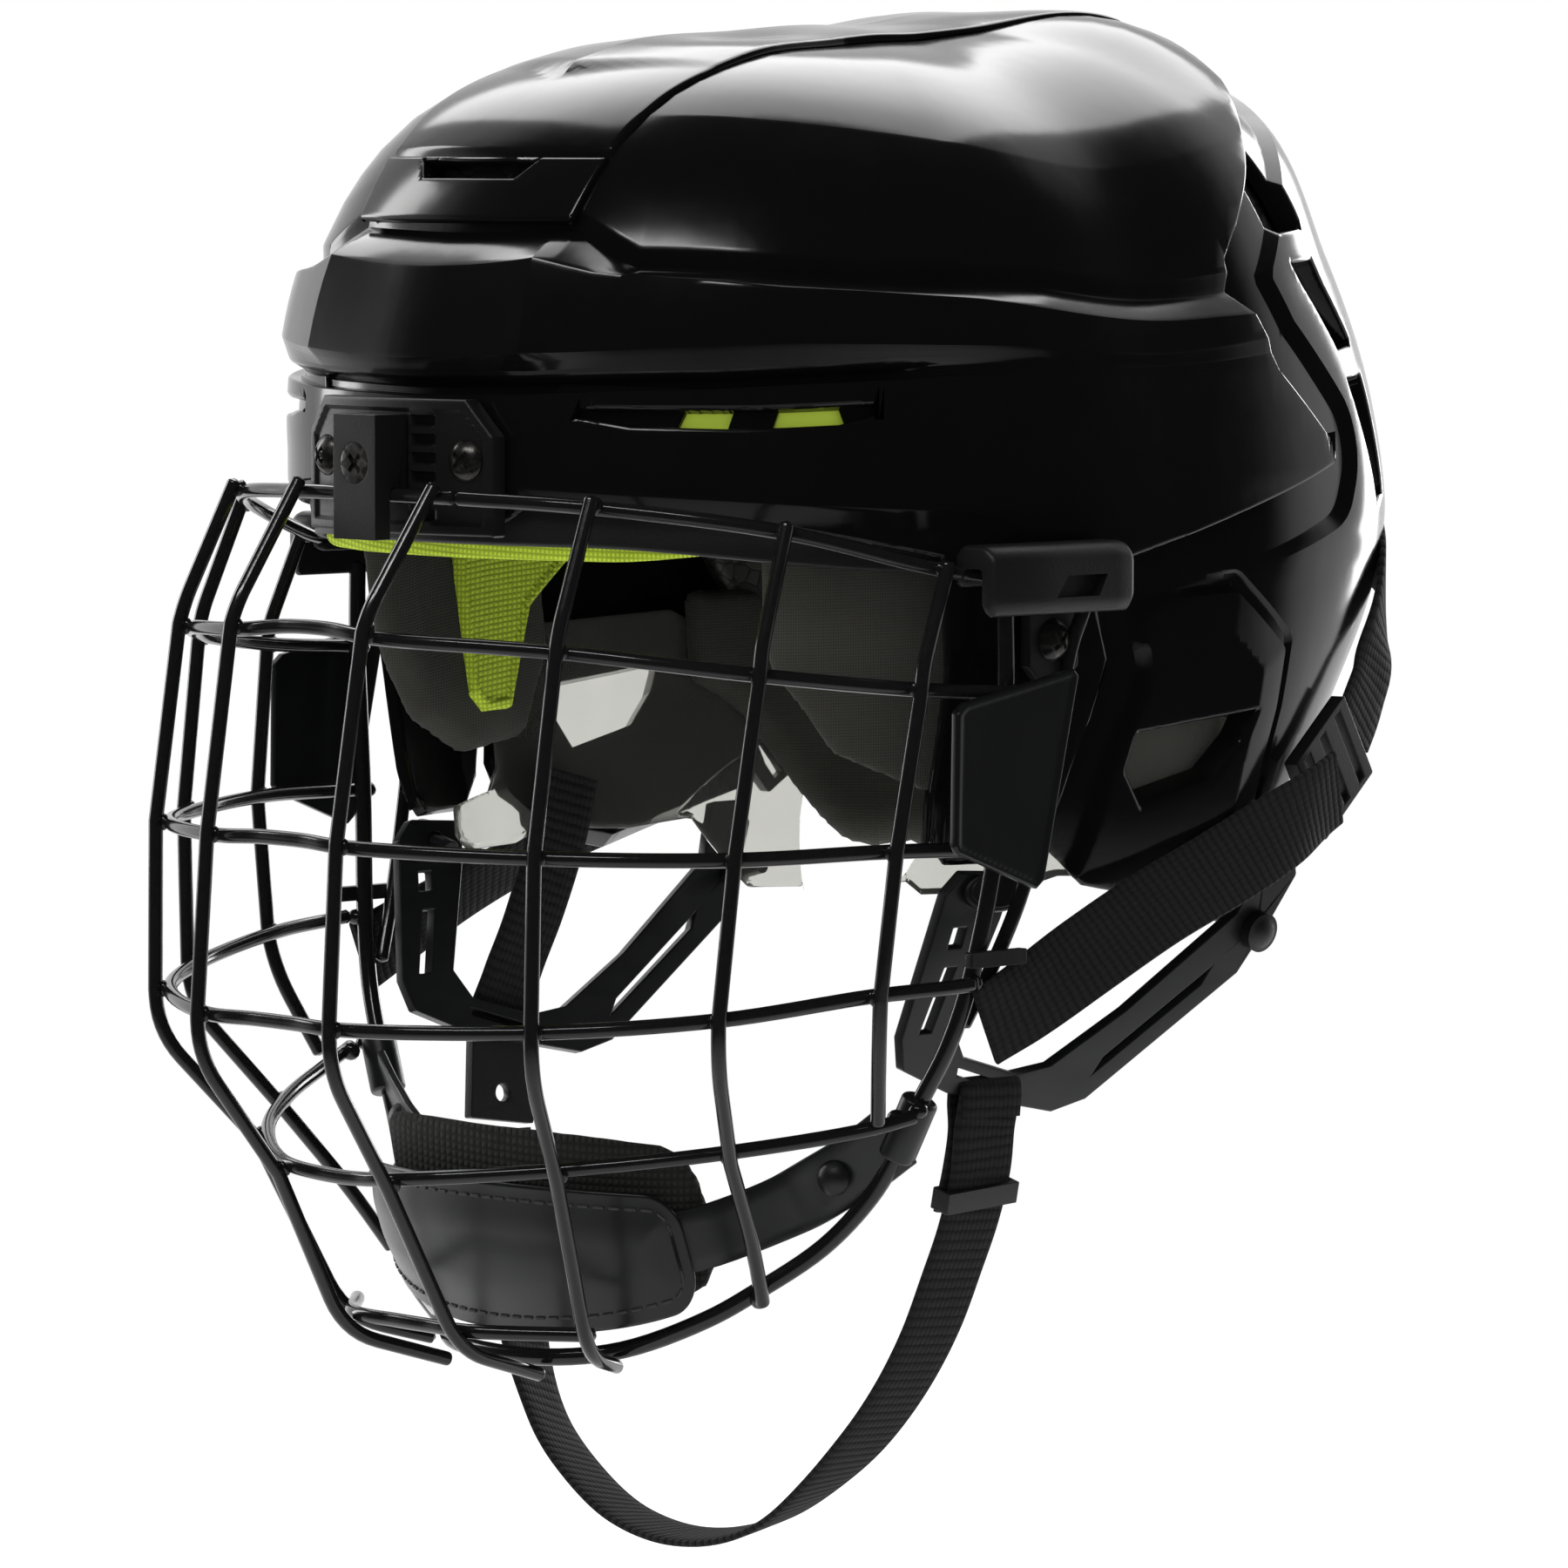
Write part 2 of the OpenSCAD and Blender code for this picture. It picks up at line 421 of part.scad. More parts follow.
module ear_loop() color("#1d1e20") loop_space() difference() {
  plate(2.4, loop_outer);
  plate(6, [[-48.4, -88], [-45.2, -88], [-41.6, -75], [-44.8, -75]]);
  plate(6, [[-44.8, -71], [-41.4, -71], [-40.8, -67], [-44.2, -67]]);
  plate(6, [[2, -100], [4, -97], [30, -80.4], [28, -83.6]]);
  plate(6, [[-36, -97.6], [-20, -102.8], [-20, -101], [-36, -96]]);
  for (k = [0, 1]) translate([0, button_at[k][0] * ky, (button_at[k][1] - loop_z) * kz])
    rotate([0, 90, 0]) cylinder(d = stud_d + 0.1, h = 8, center = true);
}
// each button's stud runs through the loop and carries it on the ear guard
button_at = [[-38, -60.6, 9], [40.6, -73, 8]];
stud_d = 3.4;
stud_reach = [10.5, 11.3];
module at_button(k) loop_space() translate([0, button_at[k][0] * ky, (button_at[k][1] - loop_z) * kz])
  rotate([0, 90, 0]) children();
module button(k) at_button(k) {
  translate([0, 0, 1.25]) cylinder(d = button_at[k][2], h = 2.4);
  translate([0, 0, 3.65]) dome_head(button_at[k][2] * 0.86, 1);
  translate([0, 0, -1.2 - stud_reach[k]]) cylinder(d = stud_d, h = stud_reach[k] + 3);
}
module front_buttons() color("#26262a") both() button(0);
module rear_buttons() color("#26262a") both() button(1);

// a ladder buckle, with slots a little wider than the webbing
module buckle() color("#18181a")
  translate(pm([80.5, 59.5, -42])) rotate([0, 0, 11.5]) rotate([35, 0, 0]) difference() {
    translate([-1, -11, -web_width / 2 - 1.8]) cube([3, 22, web_width + 3.6]);
    for (y = [-8, -1.2, 5.6]) translate([-2, y, -web_width / 2 - 0.3])
      cube([5, web_thick + 0.9, web_width + 0.6]);
  }
// the strap round the back, between the two buckles
rear_strap_half = concat([for (az = [180 : -12 : 144]) onto(az, 4 - (180 - az) / 6, -2.35)],
  [for (p = [[73.5, 82.5, -14], [76, 76.5, -26.5], [78.2, 69.8, -34.9]]) pm(p)]);
module rear_strap() color("#222123") web(through(concat(
  [for (i = [len(rear_strap_half) - 1 : -1 : 1]) flip(rear_strap_half[i])], rear_strap_half), 2),
  function (i) [0, 0, 1]);

// chin strap: hangs from the corners of both loops
strap_route = [[72.7, -27, -101.6], [72.2, -28, -108], [71, -28, -117], [68.4, -28.6, -127],
  [64.6, -29.4, -137], [59.6, -30.4, -149], [53, -31.6, -160.4], [44.6, -32.8, -171], [33.6, -34, -181.4],
  [20.6, -34.8, -190.4], [6, -35.4, -195.6], [-9, -35.8, -197], [-24, -35.8, -194.4], [-37.6, -35, -188],
  [-49, -33.6, -179.6], [-57.4, -32, -168.4], [-63.2, -30.4, -154.6], [-67, -29.4, -141],
  [-69.1, -29, -130.6], [-70.1, -28.8, -121]];
module chin_strap() color("#2a292b")
  web(through([for (p = strap_route) pm(p)], 2),
    function (i) [-0.5 * ramp(i, 14, 20) * (1 - ramp(i, 28, 34)), 1, 0]);
module strap_keeper() color("#2f2e30")
  translate(pm([69.86, -28.3, -121.4])) rotate([3, 14.6, 0]) difference() {
    cube([web_thick + 3.3, web_width + 3, 4.4], center = true);
    cube([web_thick + 0.7, web_width + 0.6, 6], center = true);
  }
riser_route = [[-73.1, -26.2, -101.3], [-74, -25.6, -97.2], [-73.2, -22.8, -89], [-71.4, -18.4, -77],
  [-70.2, -13.4, -62], [-70.4, -9.6, -48]];
module strap_riser() color("#2a292b")
  web(through([for (p = riser_route) pm(p)], 2), function (i) [0, 1, 0.2]);
// the tab lies beside the loop, so it follows the loop's slope
tab_z = -110.6;
tab_gap = 3.43;
module snap_tab() color("#1c1c1e")
  translate([-loop_x * kx - (tab_z - loop_z) * kz * tan(loop_tilt) - tab_gap, -27.6 * ky, tab_z * kz])
  rotate([-8.6, -8, 0]) difference() {
    cube([2.2, 17, 17.6], center = true);
    translate([0, 0, -3]) rotate([0, 90, 0]) cylinder(d = 3.6, h = 6, center = true);
  }

front_shell();
rear_shell();
crown_panel();
nose_panel();
vent_liners();
front_liner();
rear_liner();
brow_pad();
temple_pad(1);  // temple_pad_left
temple_pad(-1);  // temple_pad_right
temple_tab(1);  // temple_tab_left
temple_tab(-1);  // temple_tab_right
brow_plate();
brow_screws();
centre_clip();
centre_screw();
side_clip();  // side_clip_left
mirror([1, 0, 0]) side_clip();  // side_clip_right
side_screws();
hinge_bar();
top_bar(1);  // top_bar_left
top_bar(-1);  // top_bar_right
bar_2();
bar_3();
bar_4();
bar_5();
bar_6();
cage_frame();
wire(0);  // wire_left_1
wire(1);  // wire_left_2
wire(2);  // wire_left_3
wire(3);  // wire_left_4
mirror([1, 0, 0]) wire(0);  // wire_right_1
mirror([1, 0, 0]) wire(1);  // wire_right_2
mirror([1, 0, 0]) wire(2);  // wire_right_3
mirror([1, 0, 0]) wire(3);  // wire_right_4
side_plate();  // side_plate_left
mirror([1, 0, 0]) side_plate();  // side_plate_right
chin_cup_band();
chin_cup_cover();
chin_cup_pad();
chin_cup_rivets();
cage_strap();  // cage_strap_left
mirror([1, 0, 0]) cage_strap();  // cage_strap_right
both() strap_clip();  // strap_clips
ear_guard(1);  // ear_guard_left
ear_guard(-1);  // ear_guard_right
ear_loop();  // ear_loop_left
mirror([1, 0, 0]) ear_loop();  // ear_loop_right
front_buttons();
rear_buttons();
buckle();  // buckle_left
mirror([1, 0, 0]) buckle();  // buckle_right
rear_strap();
chin_strap();
strap_keeper();
strap_riser();
snap_tab();
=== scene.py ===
import json
import math

import bmesh
import bpy
import numpy as np
from bpy.props import FloatProperty, FloatVectorProperty, IntProperty, PointerProperty
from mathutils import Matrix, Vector

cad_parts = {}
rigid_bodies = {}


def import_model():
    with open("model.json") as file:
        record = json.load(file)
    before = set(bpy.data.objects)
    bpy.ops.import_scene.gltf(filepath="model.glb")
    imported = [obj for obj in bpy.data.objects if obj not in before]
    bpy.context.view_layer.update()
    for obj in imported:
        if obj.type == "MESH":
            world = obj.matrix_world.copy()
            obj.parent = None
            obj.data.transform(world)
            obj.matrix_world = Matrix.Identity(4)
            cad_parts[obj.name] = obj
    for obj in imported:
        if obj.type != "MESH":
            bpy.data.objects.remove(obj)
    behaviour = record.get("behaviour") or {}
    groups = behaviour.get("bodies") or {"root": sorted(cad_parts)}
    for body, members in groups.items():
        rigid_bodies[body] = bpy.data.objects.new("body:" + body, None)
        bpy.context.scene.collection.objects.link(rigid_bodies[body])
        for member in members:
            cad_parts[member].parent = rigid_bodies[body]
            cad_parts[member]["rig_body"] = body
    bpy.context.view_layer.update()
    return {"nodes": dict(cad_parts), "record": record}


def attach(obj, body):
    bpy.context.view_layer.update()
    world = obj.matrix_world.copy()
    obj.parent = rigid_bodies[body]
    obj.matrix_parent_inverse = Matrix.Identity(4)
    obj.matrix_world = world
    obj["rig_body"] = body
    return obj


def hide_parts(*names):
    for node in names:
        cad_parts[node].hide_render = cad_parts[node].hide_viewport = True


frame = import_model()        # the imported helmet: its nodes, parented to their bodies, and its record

bl_info = {
    "name": "Hockey helmet dresser",
    "version": (1, 0, 0),
    "blender": (4, 5, 0),
    "location": "View3D > Sidebar > Helmet",
    "description": "Builds the shells, cage, chin cup, straps and linings of a hockey helmet",
    "category": "Object",
}

MM = 0.001
SIDES = (("left", 1), ("right", -1))
NODES = frame["nodes"]


# The head form

LATITUDES = np.array([-45, -20, 0, 15, 30, 45, 60, 75, 90.0])
HEAD_FORM = np.array([
    [118, 114, 114, 117, 121, 122.5, 114.5, 105.5, 103.5],
    [116, 111, 110, 115, 121, 122.5, 114.5, 105.5, 103.5],
    [113, 101, 100, 105, 112, 116, 111.5, 106, 103.5],
    [112, 97, 94, 96, 102, 108, 108.5, 106, 103.5],
    [114, 104.5, 104, 105, 110, 116, 114, 108, 103.5],
    [115, 110, 117.5, 119, 121, 126, 123, 111, 103.5],
    [120, 115, 122.5, 124, 124, 126, 122, 111.5, 103.5]])
SLOPES = np.zeros_like(HEAD_FORM)
SLOPES[:, 0] = (HEAD_FORM[:, 1] - HEAD_FORM[:, 0]) / (LATITUDES[1] - LATITUDES[0])
SLOPES[:, 1:8] = (HEAD_FORM[:, 2:] - HEAD_FORM[:, :-2]) / (LATITUDES[2:] - LATITUDES[:-2])


def spline(a, b, c, d, t):
    """The smooth curve from b to c whose neighbours are a and d."""
    return 0.5 * (2 * b + (c - a) * t + (2 * a - 5 * b + 4 * c - d) * t * t
                  + (3 * b - a - 3 * c + d) * t ** 3)


def head_reach(az, th):
    """Distance in mm from the head's middle to the shell, at azimuth az from the face and elevation th."""
    side = np.abs((az + 540) % 360 - 180)
    row = np.minimum(5, (side // 30).astype(int))
    t = side / 30 - row
    j = np.clip(np.searchsorted(LATITUDES, th, side="right") - 1, 0, 7)
    step = LATITUDES[j + 1] - LATITUDES[j]
    s = (th - LATITUDES[j]) / step

    def up_row(k):
        k = np.abs(k)
        k = np.where(k > 6, 12 - k, k)
        low = (2 * s ** 3 - 3 * s ** 2 + 1) * HEAD_FORM[k, j]
        low_slope = (s ** 3 - 2 * s ** 2 + s) * SLOPES[k, j] * step
        high = (3 * s ** 2 - 2 * s ** 3) * HEAD_FORM[k, j + 1]
        high_slope = (s ** 3 - s ** 2) * SLOPES[k, j + 1] * step
        return low + low_slope + high + high_slope

    return spline(up_row(row - 1), up_row(row), up_row(row + 1), up_row(row + 2), t)


def on_form(az, th, off):
    """Points in mm that stand off the head form."""
    az, th = np.asarray(az, float), np.asarray(th, float)
    r = head_reach(az, th) + off
    a, t = np.radians(az), np.radians(th)
    return np.stack([r * np.cos(t) * np.sin(a), -r * np.cos(t) * np.cos(a), r * np.sin(t)], -1)


def ease(x, a, b):
    """0 before a, 1 after b, smooth between them."""
    t = np.clip((x - a) / (b - a), 0, 1)
    return t * t * (3 - 2 * t)


def tuck(az, th):
    """How far the rear shell is drawn in where it slides under the front one."""
    side = np.abs((az + 540) % 360 - 180)
    return 2.6 * (1 - ease(side, 96, 116)) * (1 - ease(th, 22, 50)) + 0.7 * ease(th, 42, 56)


def outline_distance(y, z, outline):
    """Signed distance in mm from an outline in the side view, negative inside it."""
    p = np.stack([y, z], -1)[:, None, :]
    a = np.array(outline, float)
    b = np.roll(a, -1, axis=0)
    edge = b - a
    t = np.clip(((p - a) * edge).sum(-1) / (edge * edge).sum(-1), 0, 1)
    gap = np.linalg.norm(p - a - t[..., None] * edge, axis=-1).min(1)
    crossing = (a[:, 1] > p[..., 1]) != (b[:, 1] > p[..., 1])
    rise = np.where(edge[:, 1] == 0, 1e-9, edge[:, 1])
    left = p[..., 0] < (p[..., 1] - a[:, 1]) / rise * edge[:, 0] + a[:, 0]
    inside = (crossing & left).sum(1) % 2 == 1
    return np.where(inside, -gap, gap)


# Meshes

def split_triangles(points, faces, values):
    """Splits triangles along the line where values are 0, and gives the points and faces."""
    span = np.abs(values).max() or 1
    values = np.where(np.abs(values) < 1e-5 * span, 0, values)
    sign = np.sign(values)
    s = sign[faces]
    crossed = (s.min(1) < 0) & (s.max(1) > 0)
    made, new_points, new_faces = {}, [], []

    def cut(a, b):
        key = (min(a, b), max(a, b))
        if key not in made:
            t = values[a] / (values[a] - values[b])
            made[key] = len(points) + len(new_points)
            new_points.append(points[a] + t * (points[b] - points[a]))
        return made[key]

    for face in faces[crossed]:
        zeros = [k for k in range(3) if sign[face[k]] == 0]
        if zeros:
            z, p, q = (face[(zeros[0] + k) % 3] for k in range(3))
            m = cut(p, q)
            new_faces += [(z, p, m), (z, m, q)]
            continue
        lone = next(k for k in range(3) if sign[face[k]] != sign[face[(k + 1) % 3]]
                    and sign[face[k]] != sign[face[(k + 2) % 3]])
        v, p, q = (face[(lone + k) % 3] for k in range(3))
        m, n = cut(v, p), cut(v, q)
        new_faces += [(v, m, n), (m, p, q), (m, q, n)]
    if new_points:
        points = np.concatenate([points, np.array(new_points)])
        faces = np.concatenate([faces[~crossed], np.array(new_faces)])
    return points, faces


def grid_faces(rows, cols, wrap=False):
    """Triangles of a grid of rows by cols points."""
    i, j = np.meshgrid(np.arange(rows - 1), np.arange(cols if wrap else cols - 1), indexing="ij")
    a, b = i * cols + j, i * cols + (j + 1) % cols
    return np.concatenate([np.stack([a, b, b + cols], -1).reshape(-1, 3),
                           np.stack([a, b + cols, a + cols], -1).reshape(-1, 3)])


def flat_grid(across, up):
    """A grid over two ranges of numbers."""
    return np.stack(np.meshgrid(across, up), -1).reshape(-1, 2), grid_faces(len(up), len(across))


def open_edges(faces):
    """Directed edges that only one triangle has."""
    edges = np.concatenate([faces[:, [0, 1]], faces[:, [1, 2]], faces[:, [2, 0]]])
    have = {(a, b) for a, b in edges}
    return np.array([e for e in have if (e[1], e[0]) not in have])


def make_object(name, verts, faces, look, body, slot, crease=30, uv=None):
    """A mesh object from points in mm. Edges sharper than crease degrees stay sharp."""
    mesh = bpy.data.meshes.new(name)
    points = [tuple(v) for v in np.asarray(verts) * MM]
    mesh.from_pydata(points, [], [tuple(int(i) for i in f) for f in faces])
    if uv is not None:
        layer = mesh.uv_layers.new(name="along")
        index = np.zeros(len(mesh.loops), int)
        mesh.loops.foreach_get("vertex_index", index)
        layer.data.foreach_set("uv", (np.asarray(uv)[index] * MM).ravel())
    bm = bmesh.new()
    bm.from_mesh(mesh)
    bmesh.ops.dissolve_degenerate(bm, dist=1e-7, edges=bm.edges)
    bmesh.ops.recalc_face_normals(bm, faces=bm.faces)
    bm.to_mesh(mesh)
    bm.free()
    mesh.shade_smooth()
    mesh.set_sharp_from_angle(angle=math.radians(crease))
    piece = bpy.data.objects.new(name, mesh)
    bpy.context.scene.collection.objects.link(piece)
    piece.data.materials.append(look)
    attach(piece, body)
    return piece


# Finishes

class Socket:
    """A node's output. Expressions on it add Math nodes."""

    def __init__(self, tree, out):
        self.tree, self.out = tree, out

    def maths(self, operation, *values, clamp=False):
        node = self.tree.nodes.new("ShaderNodeMath")
        node.operation, node.use_clamp = operation, clamp
        for socket, value in zip(node.inputs, values):
            if isinstance(value, Socket):
                self.tree.links.new(value.out, socket)
            else:
                socket.default_value = value
        return Socket(self.tree, node.outputs[0])

    def __add__(self, other):
        return self.maths("ADD", self, other)

    def __sub__(self, other):
        return self.maths("SUBTRACT", self, other)

    def __rsub__(self, other):
        return self.maths("SUBTRACT", other, self)

    def __mul__(self, other):
        return self.maths("MULTIPLY", self, other)

    def __truediv__(self, other):
        return self.maths("DIVIDE", self, other)

    def __rtruediv__(self, other):
        return self.maths("DIVIDE", other, self)

    def __pow__(self, other):
        return self.maths("POWER", self, other)

    def __abs__(self):
        return self.maths("ABSOLUTE", self)

    __radd__ = __add__
    __rmul__ = __mul__

    def sine(self):
        return self.maths("SINE", self)

    def clamped(self):
        return self.maths("ADD", self, 0.0, clamp=True)


class Finish:
    """A material that is built node by node."""

    def __init__(self, name, data=None):
        self.material = data or bpy.data.materials.new(name)
        self.material.use_nodes = True
        self.tree = self.material.node_tree
        self.tree.nodes.clear()

    def node(self, kind, settings=None, inputs=None, out=0):
        """Adds a node: its type, its settings, then the values or links of its sockets."""
        node = self.tree.nodes.new("ShaderNode" + kind)
        for key, value in (settings or {}).items():
            if key == "stops":
                elements = node.color_ramp.elements
                while len(elements) < len(value):
                    elements.new(0.5)
                for element, (place, colour) in zip(elements, value):
                    element.position, element.color = place, (*colour, 1)
            else:
                setattr(node, key, value)
        for key, value in (inputs or {}).items():
            if isinstance(value, Socket):
                self.tree.links.new(value.out, node.inputs[key])
            else:
                node.inputs[key].default_value = value
        return Socket(self.tree, node.outputs[out]) if node.outputs else None

    def place(self):
        """The point on the piece, in metres."""
        return self.node("TexCoord", out=3)

    def axes(self, vector):
        """The three parts of a vector."""
        parts = self.node("SeparateXYZ", inputs={"Vector": vector}).out.node.outputs
        return [Socket(self.tree, part) for part in parts]

    def noise(self, scale, detail=2.0, roughness=0.5, stretch=None):
        """Noise of so many spots in a metre, longer along an axis whose stretch is under 1."""
        at = self.place()
        if stretch:
            at = self.node("Mapping", inputs={"Vector": at, "Scale": stretch})
        return self.node("TexNoise", inputs={"Vector": at, "Scale": scale, "Detail": detail,
                                             "Roughness": roughness})

    def cells(self, scale, feature="F1", out=0):
        inputs = {"Vector": self.place(), "Scale": scale}
        return self.node("TexVoronoi", {"feature": feature}, inputs, out=out)

    def ramp(self, factor, *stops):
        return self.node("ValToRGB", {"stops": stops}, {"Fac": factor})

    def mix(self, factor, a, b):
        def colour(c):
            return c if isinstance(c, Socket) else (*c, 1)
        return self.node("Mix", {"data_type": "RGBA"}, {0: factor, 6: colour(a), 7: colour(b)}, out=2)

    def surface(self, base, roughness, height=None, depth=0.0002, strength=1.0, **fixed):
        """The shader: base colour and roughness, a bump of a depth in metres, and fixed values."""
        inputs = {"Base Color": base if isinstance(base, Socket) else (*base, 1), "Roughness": roughness}
        if height is not None:
            bump = {"Strength": strength, "Distance": depth, "Height": height}
            inputs["Normal"] = self.node("Bump", inputs=bump)
        inputs.update({key.replace("_", " "): value for key, value in fixed.items()})
        shader = self.node("BsdfPrincipled", inputs=inputs)
        self.node("OutputMaterial", inputs={"Surface": shader})
        return self.material


def scaled(colour, k):
    return tuple(c * k for c in colour[:3])


def shell_finish(colour, gloss):
    """Injection-moulded gloss plastic: a faint ripple, handling marks and a little dust."""
    f = Finish("gloss_shell")
    ripple = f.noise(160, detail=1.0)
    fine = f.noise(2600, detail=2.0)
    marks = f.noise(38, detail=6.0, roughness=0.7)
    base = f.mix(marks, scaled(colour, 0.8), scaled(colour, 1.3))
    worn = (marks - 0.52).clamped() * 0.22
    return f.surface(base, gloss + worn + fine * 0.02, ripple * 0.8 + fine * 0.03, depth=0.00006,
                     strength=0.5, Specular_IOR_Level=0.3)


def trim_finish(colour):
    """Satin moulded plastic with a fine spark-eroded grain."""
    f = Finish("satin_trim")
    grain = f.cells(1900)
    cloud = f.noise(55, detail=3.0)
    base = f.mix(cloud, scaled(colour, 0.8), scaled(colour, 1.25))
    return f.surface(base, 0.34 + cloud * 0.12 + grain * 0.05, grain + f.noise(700) * 0.6, depth=0.00003,
                     strength=0.7, Specular_IOR_Level=0.4)


def wire_finish(colour):
    """Steel wire dipped in gloss black coating, a little thicker in places."""
    f = Finish("coated_wire")
    thick = f.noise(95, detail=2.0)
    fine = f.noise(900, detail=2.0)
    base = f.mix(fine, scaled(colour, 0.8), scaled(colour, 1.4))
    return f.surface(base, 0.1 + fine * 0.06, thick + fine * 0.12, depth=0.00012, strength=0.6,
                     Specular_IOR_Level=0.45)


def screw_finish():
    """Black oxide steel with bright wear in scattered patches."""
    f = Finish("black_screw")
    wear = (f.noise(420, detail=4.0) - 0.45).clamped() * 2.2
    base = f.mix(wear, (0.035, 0.034, 0.033), (0.16, 0.15, 0.14))
    return f.surface(base, 0.24 + wear * 0.1, f.noise(1500), depth=0.00003, strength=0.6, Metallic=0.85)


def loop_finish(colour):
    """Nylon with a soft sheen and faint flow lines."""
    f = Finish("nylon_loop")
    flow = f.noise(420, stretch=(1, 0.2, 1))
    base = f.mix(flow, scaled(colour, 0.8), scaled(colour, 1.25))
    return f.surface(base, 0.3 + flow * 0.12, flow + f.noise(1800) * 0.3, depth=0.00004, strength=0.6,
                     Specular_IOR_Level=0.45)


def foam_finish(colour):
    """Moulded bead foam: fused beads with darker joins and a slight skin gloss."""
    f = Finish("bead_foam")
    join = (f.cells(330, "DISTANCE_TO_EDGE") * 9.0).clamped()
    tone = f.node("SeparateColor", inputs={"Color": f.cells(330, out=1)})
    base = f.mix(tone, scaled(colour, 0.75), scaled(colour, 1.9))
    base = f.mix(join, scaled(colour, 0.5), base)
    return f.surface(base, 0.42 + f.noise(260, detail=4.0) * 0.25, join * 0.6 + f.noise(1200) * 0.4,
                     depth=0.00025, strength=0.7, Specular_IOR_Level=0.4)


def green_plastic_finish(colour):
    """Satin moulded plastic of the vent liners."""
    f = Finish("green_plastic")
    grain = f.noise(1400)
    base = f.mix(f.noise(60, detail=3.0), scaled(colour, 0.85), scaled(colour, 1.1))
    return f.surface(base, 0.45 + grain * 0.1, grain, depth=0.00005, strength=0.5, Specular_IOR_Level=0.4)


def knit_finish(name, colour, pitch, depth):
    """Knitted cover: rows of small stitches, with painted shade darkening the hollows and pinholes between
    them.
    """
    f = Finish(name)
    x, y, z = f.axes(f.place())
    k = math.pi / pitch
    column = ((x + y) * (k * 0.9)).sine()
    course = ((z + (x - y) * 0.05) * k).sine()
    stitch = abs(column * course)
    fuzz = f.noise(2600, detail=3.0)
    # painted shade: the colour darkens in the hollows between stitches, with random fuzz in the tone
    painted_hollow_shade_and_fuzz = (stitch * 0.8 + fuzz * 0.3).clamped()
    base = f.mix(painted_hollow_shade_and_fuzz, scaled(colour, 0.5), scaled(colour, 1.12))
    return f.surface(base, 0.82 + fuzz * 0.1, stitch + fuzz * 0.35, depth, strength=0.9,
                     Sheen_Weight=0.04, Sheen_Roughness=0.5, Specular_IOR_Level=0.12)


def webbing_finish(colour, pitch):
    """Woven polyester webbing: ribs across it with a twill in them."""
    f = Finish("webbing")
    u, v, _ = f.axes(f.node("UVMap", {"uv_map": "along"}))
    k = math.pi / pitch
    rib = abs((u * k + abs((v * (k * 0.55)).sine()) * 0.22).sine())
    yarn = abs((v * (k * 1.7)).sine())
    fuzz = f.noise(3000, detail=3.0)
    # painted shade: the colour darkens in the grooves between ribs and yarns, with random fuzz in the tone
    painted_hollow_shade_and_fuzz = (rib * 0.65 + yarn * 0.2 + fuzz * 0.25).clamped()
    base = f.mix(painted_hollow_shade_and_fuzz, scaled(colour, 0.35), scaled(colour, 1.1))
    return f.surface(base, 0.75 + fuzz * 0.15, rib + yarn * 0.3 + fuzz * 0.2, depth=0.00028, strength=1.0,
                     Sheen_Weight=0.04, Sheen_Roughness=0.45, Specular_IOR_Level=0.12)


def plate_finish(colour):
    """Satin black plate with a faint brushed haze."""
    f = Finish("satin_plate")
    haze = f.noise(900, stretch=(1, 1, 0.1))
    cloud = f.noise(60, detail=3.0)
    base = f.mix(cloud, scaled(colour, 0.6), scaled(colour, 0.95))
    return f.surface(base, 0.24 + haze * 0.08 + cloud * 0.06, haze, depth=0.00002, strength=0.5,
                     Specular_IOR_Level=0.4)


def webbing_thread_finish(colour):
    """Twisted bonded thread, a little lighter than the cloth."""
    f = Finish("bonded_thread")
    twist = f.noise(2400, detail=2.0)
    base = f.mix(twist, scaled(colour, 1.2), scaled(colour, 3.2))
    return f.surface(base, 0.5 + twist * 0.1, twist, depth=0.00005, strength=0.6, Specular_IOR_Level=0.35)


def guard_finish(colour):
    """Soft clear plastic, milky in its thickness."""
    f = Finish("milky_guard")
    cloud = f.noise(70, detail=3.0)
    base = f.mix(cloud, scaled(colour, 0.86), scaled(colour, 1.0))
    return f.surface(base, 0.07 + cloud * 0.06, f.noise(300), depth=0.00004, strength=0.4,
                     Transmission_Weight=0.94, IOR=1.18)


def floor_finish():
    """Pale floor that fades out away from its middle."""
    f = Finish("pale_floor")
    x, y, _ = f.axes(f.place())
    far = (((x * x + y * y) ** 0.5 - 0.22) / 0.4).clamped()
    base = f.mix(f.noise(3), (0.92, 0.92, 0.92), (0.95, 0.95, 0.95))
    return f.surface(base, 0.9, Specular_IOR_Level=0.0, Alpha=1 - far ** 0.7)


FINISHES = {}


def finish(name):
    """The finish of that name. All are built at the first call, from the panel's colours."""
    if name not in FINISHES:
        scene = bpy.context.scene
        shell, cage, soft = scene.helmet_shell, scene.helmet_cage, scene.helmet_soft
        FINISHES.update(
            shell=shell_finish(shell.colour, shell.polish),
            trim=trim_finish(shell.trim_colour),
            wire=wire_finish(cage.colour),
            screw=screw_finish(),
            loop=loop_finish(soft.loop_colour),
            foam=foam_finish(soft.foam_colour),
            green=green_plastic_finish(soft.green_colour),
            webbing_thread=webbing_thread_finish(soft.webbing_colour),
            plate=plate_finish(soft.loop_colour),
            knit=knit_finish("green_knit", soft.green_colour, pitch=0.0011, depth=0.00022),
            mesh=knit_finish("black_mesh_cloth", soft.cloth_colour, pitch=0.0016, depth=0.0004),
            pad=knit_finish("pad_cloth", soft.pad_colour, pitch=0.0006, depth=0.0001),
            webbing=webbing_finish(soft.webbing_colour, pitch=0.0021),
            guard=guard_finish(soft.guard_colour))
    return FINISHES[name]


# Outlines in mm in the side view, and one in plan. Creases are azimuths and elevations in degrees

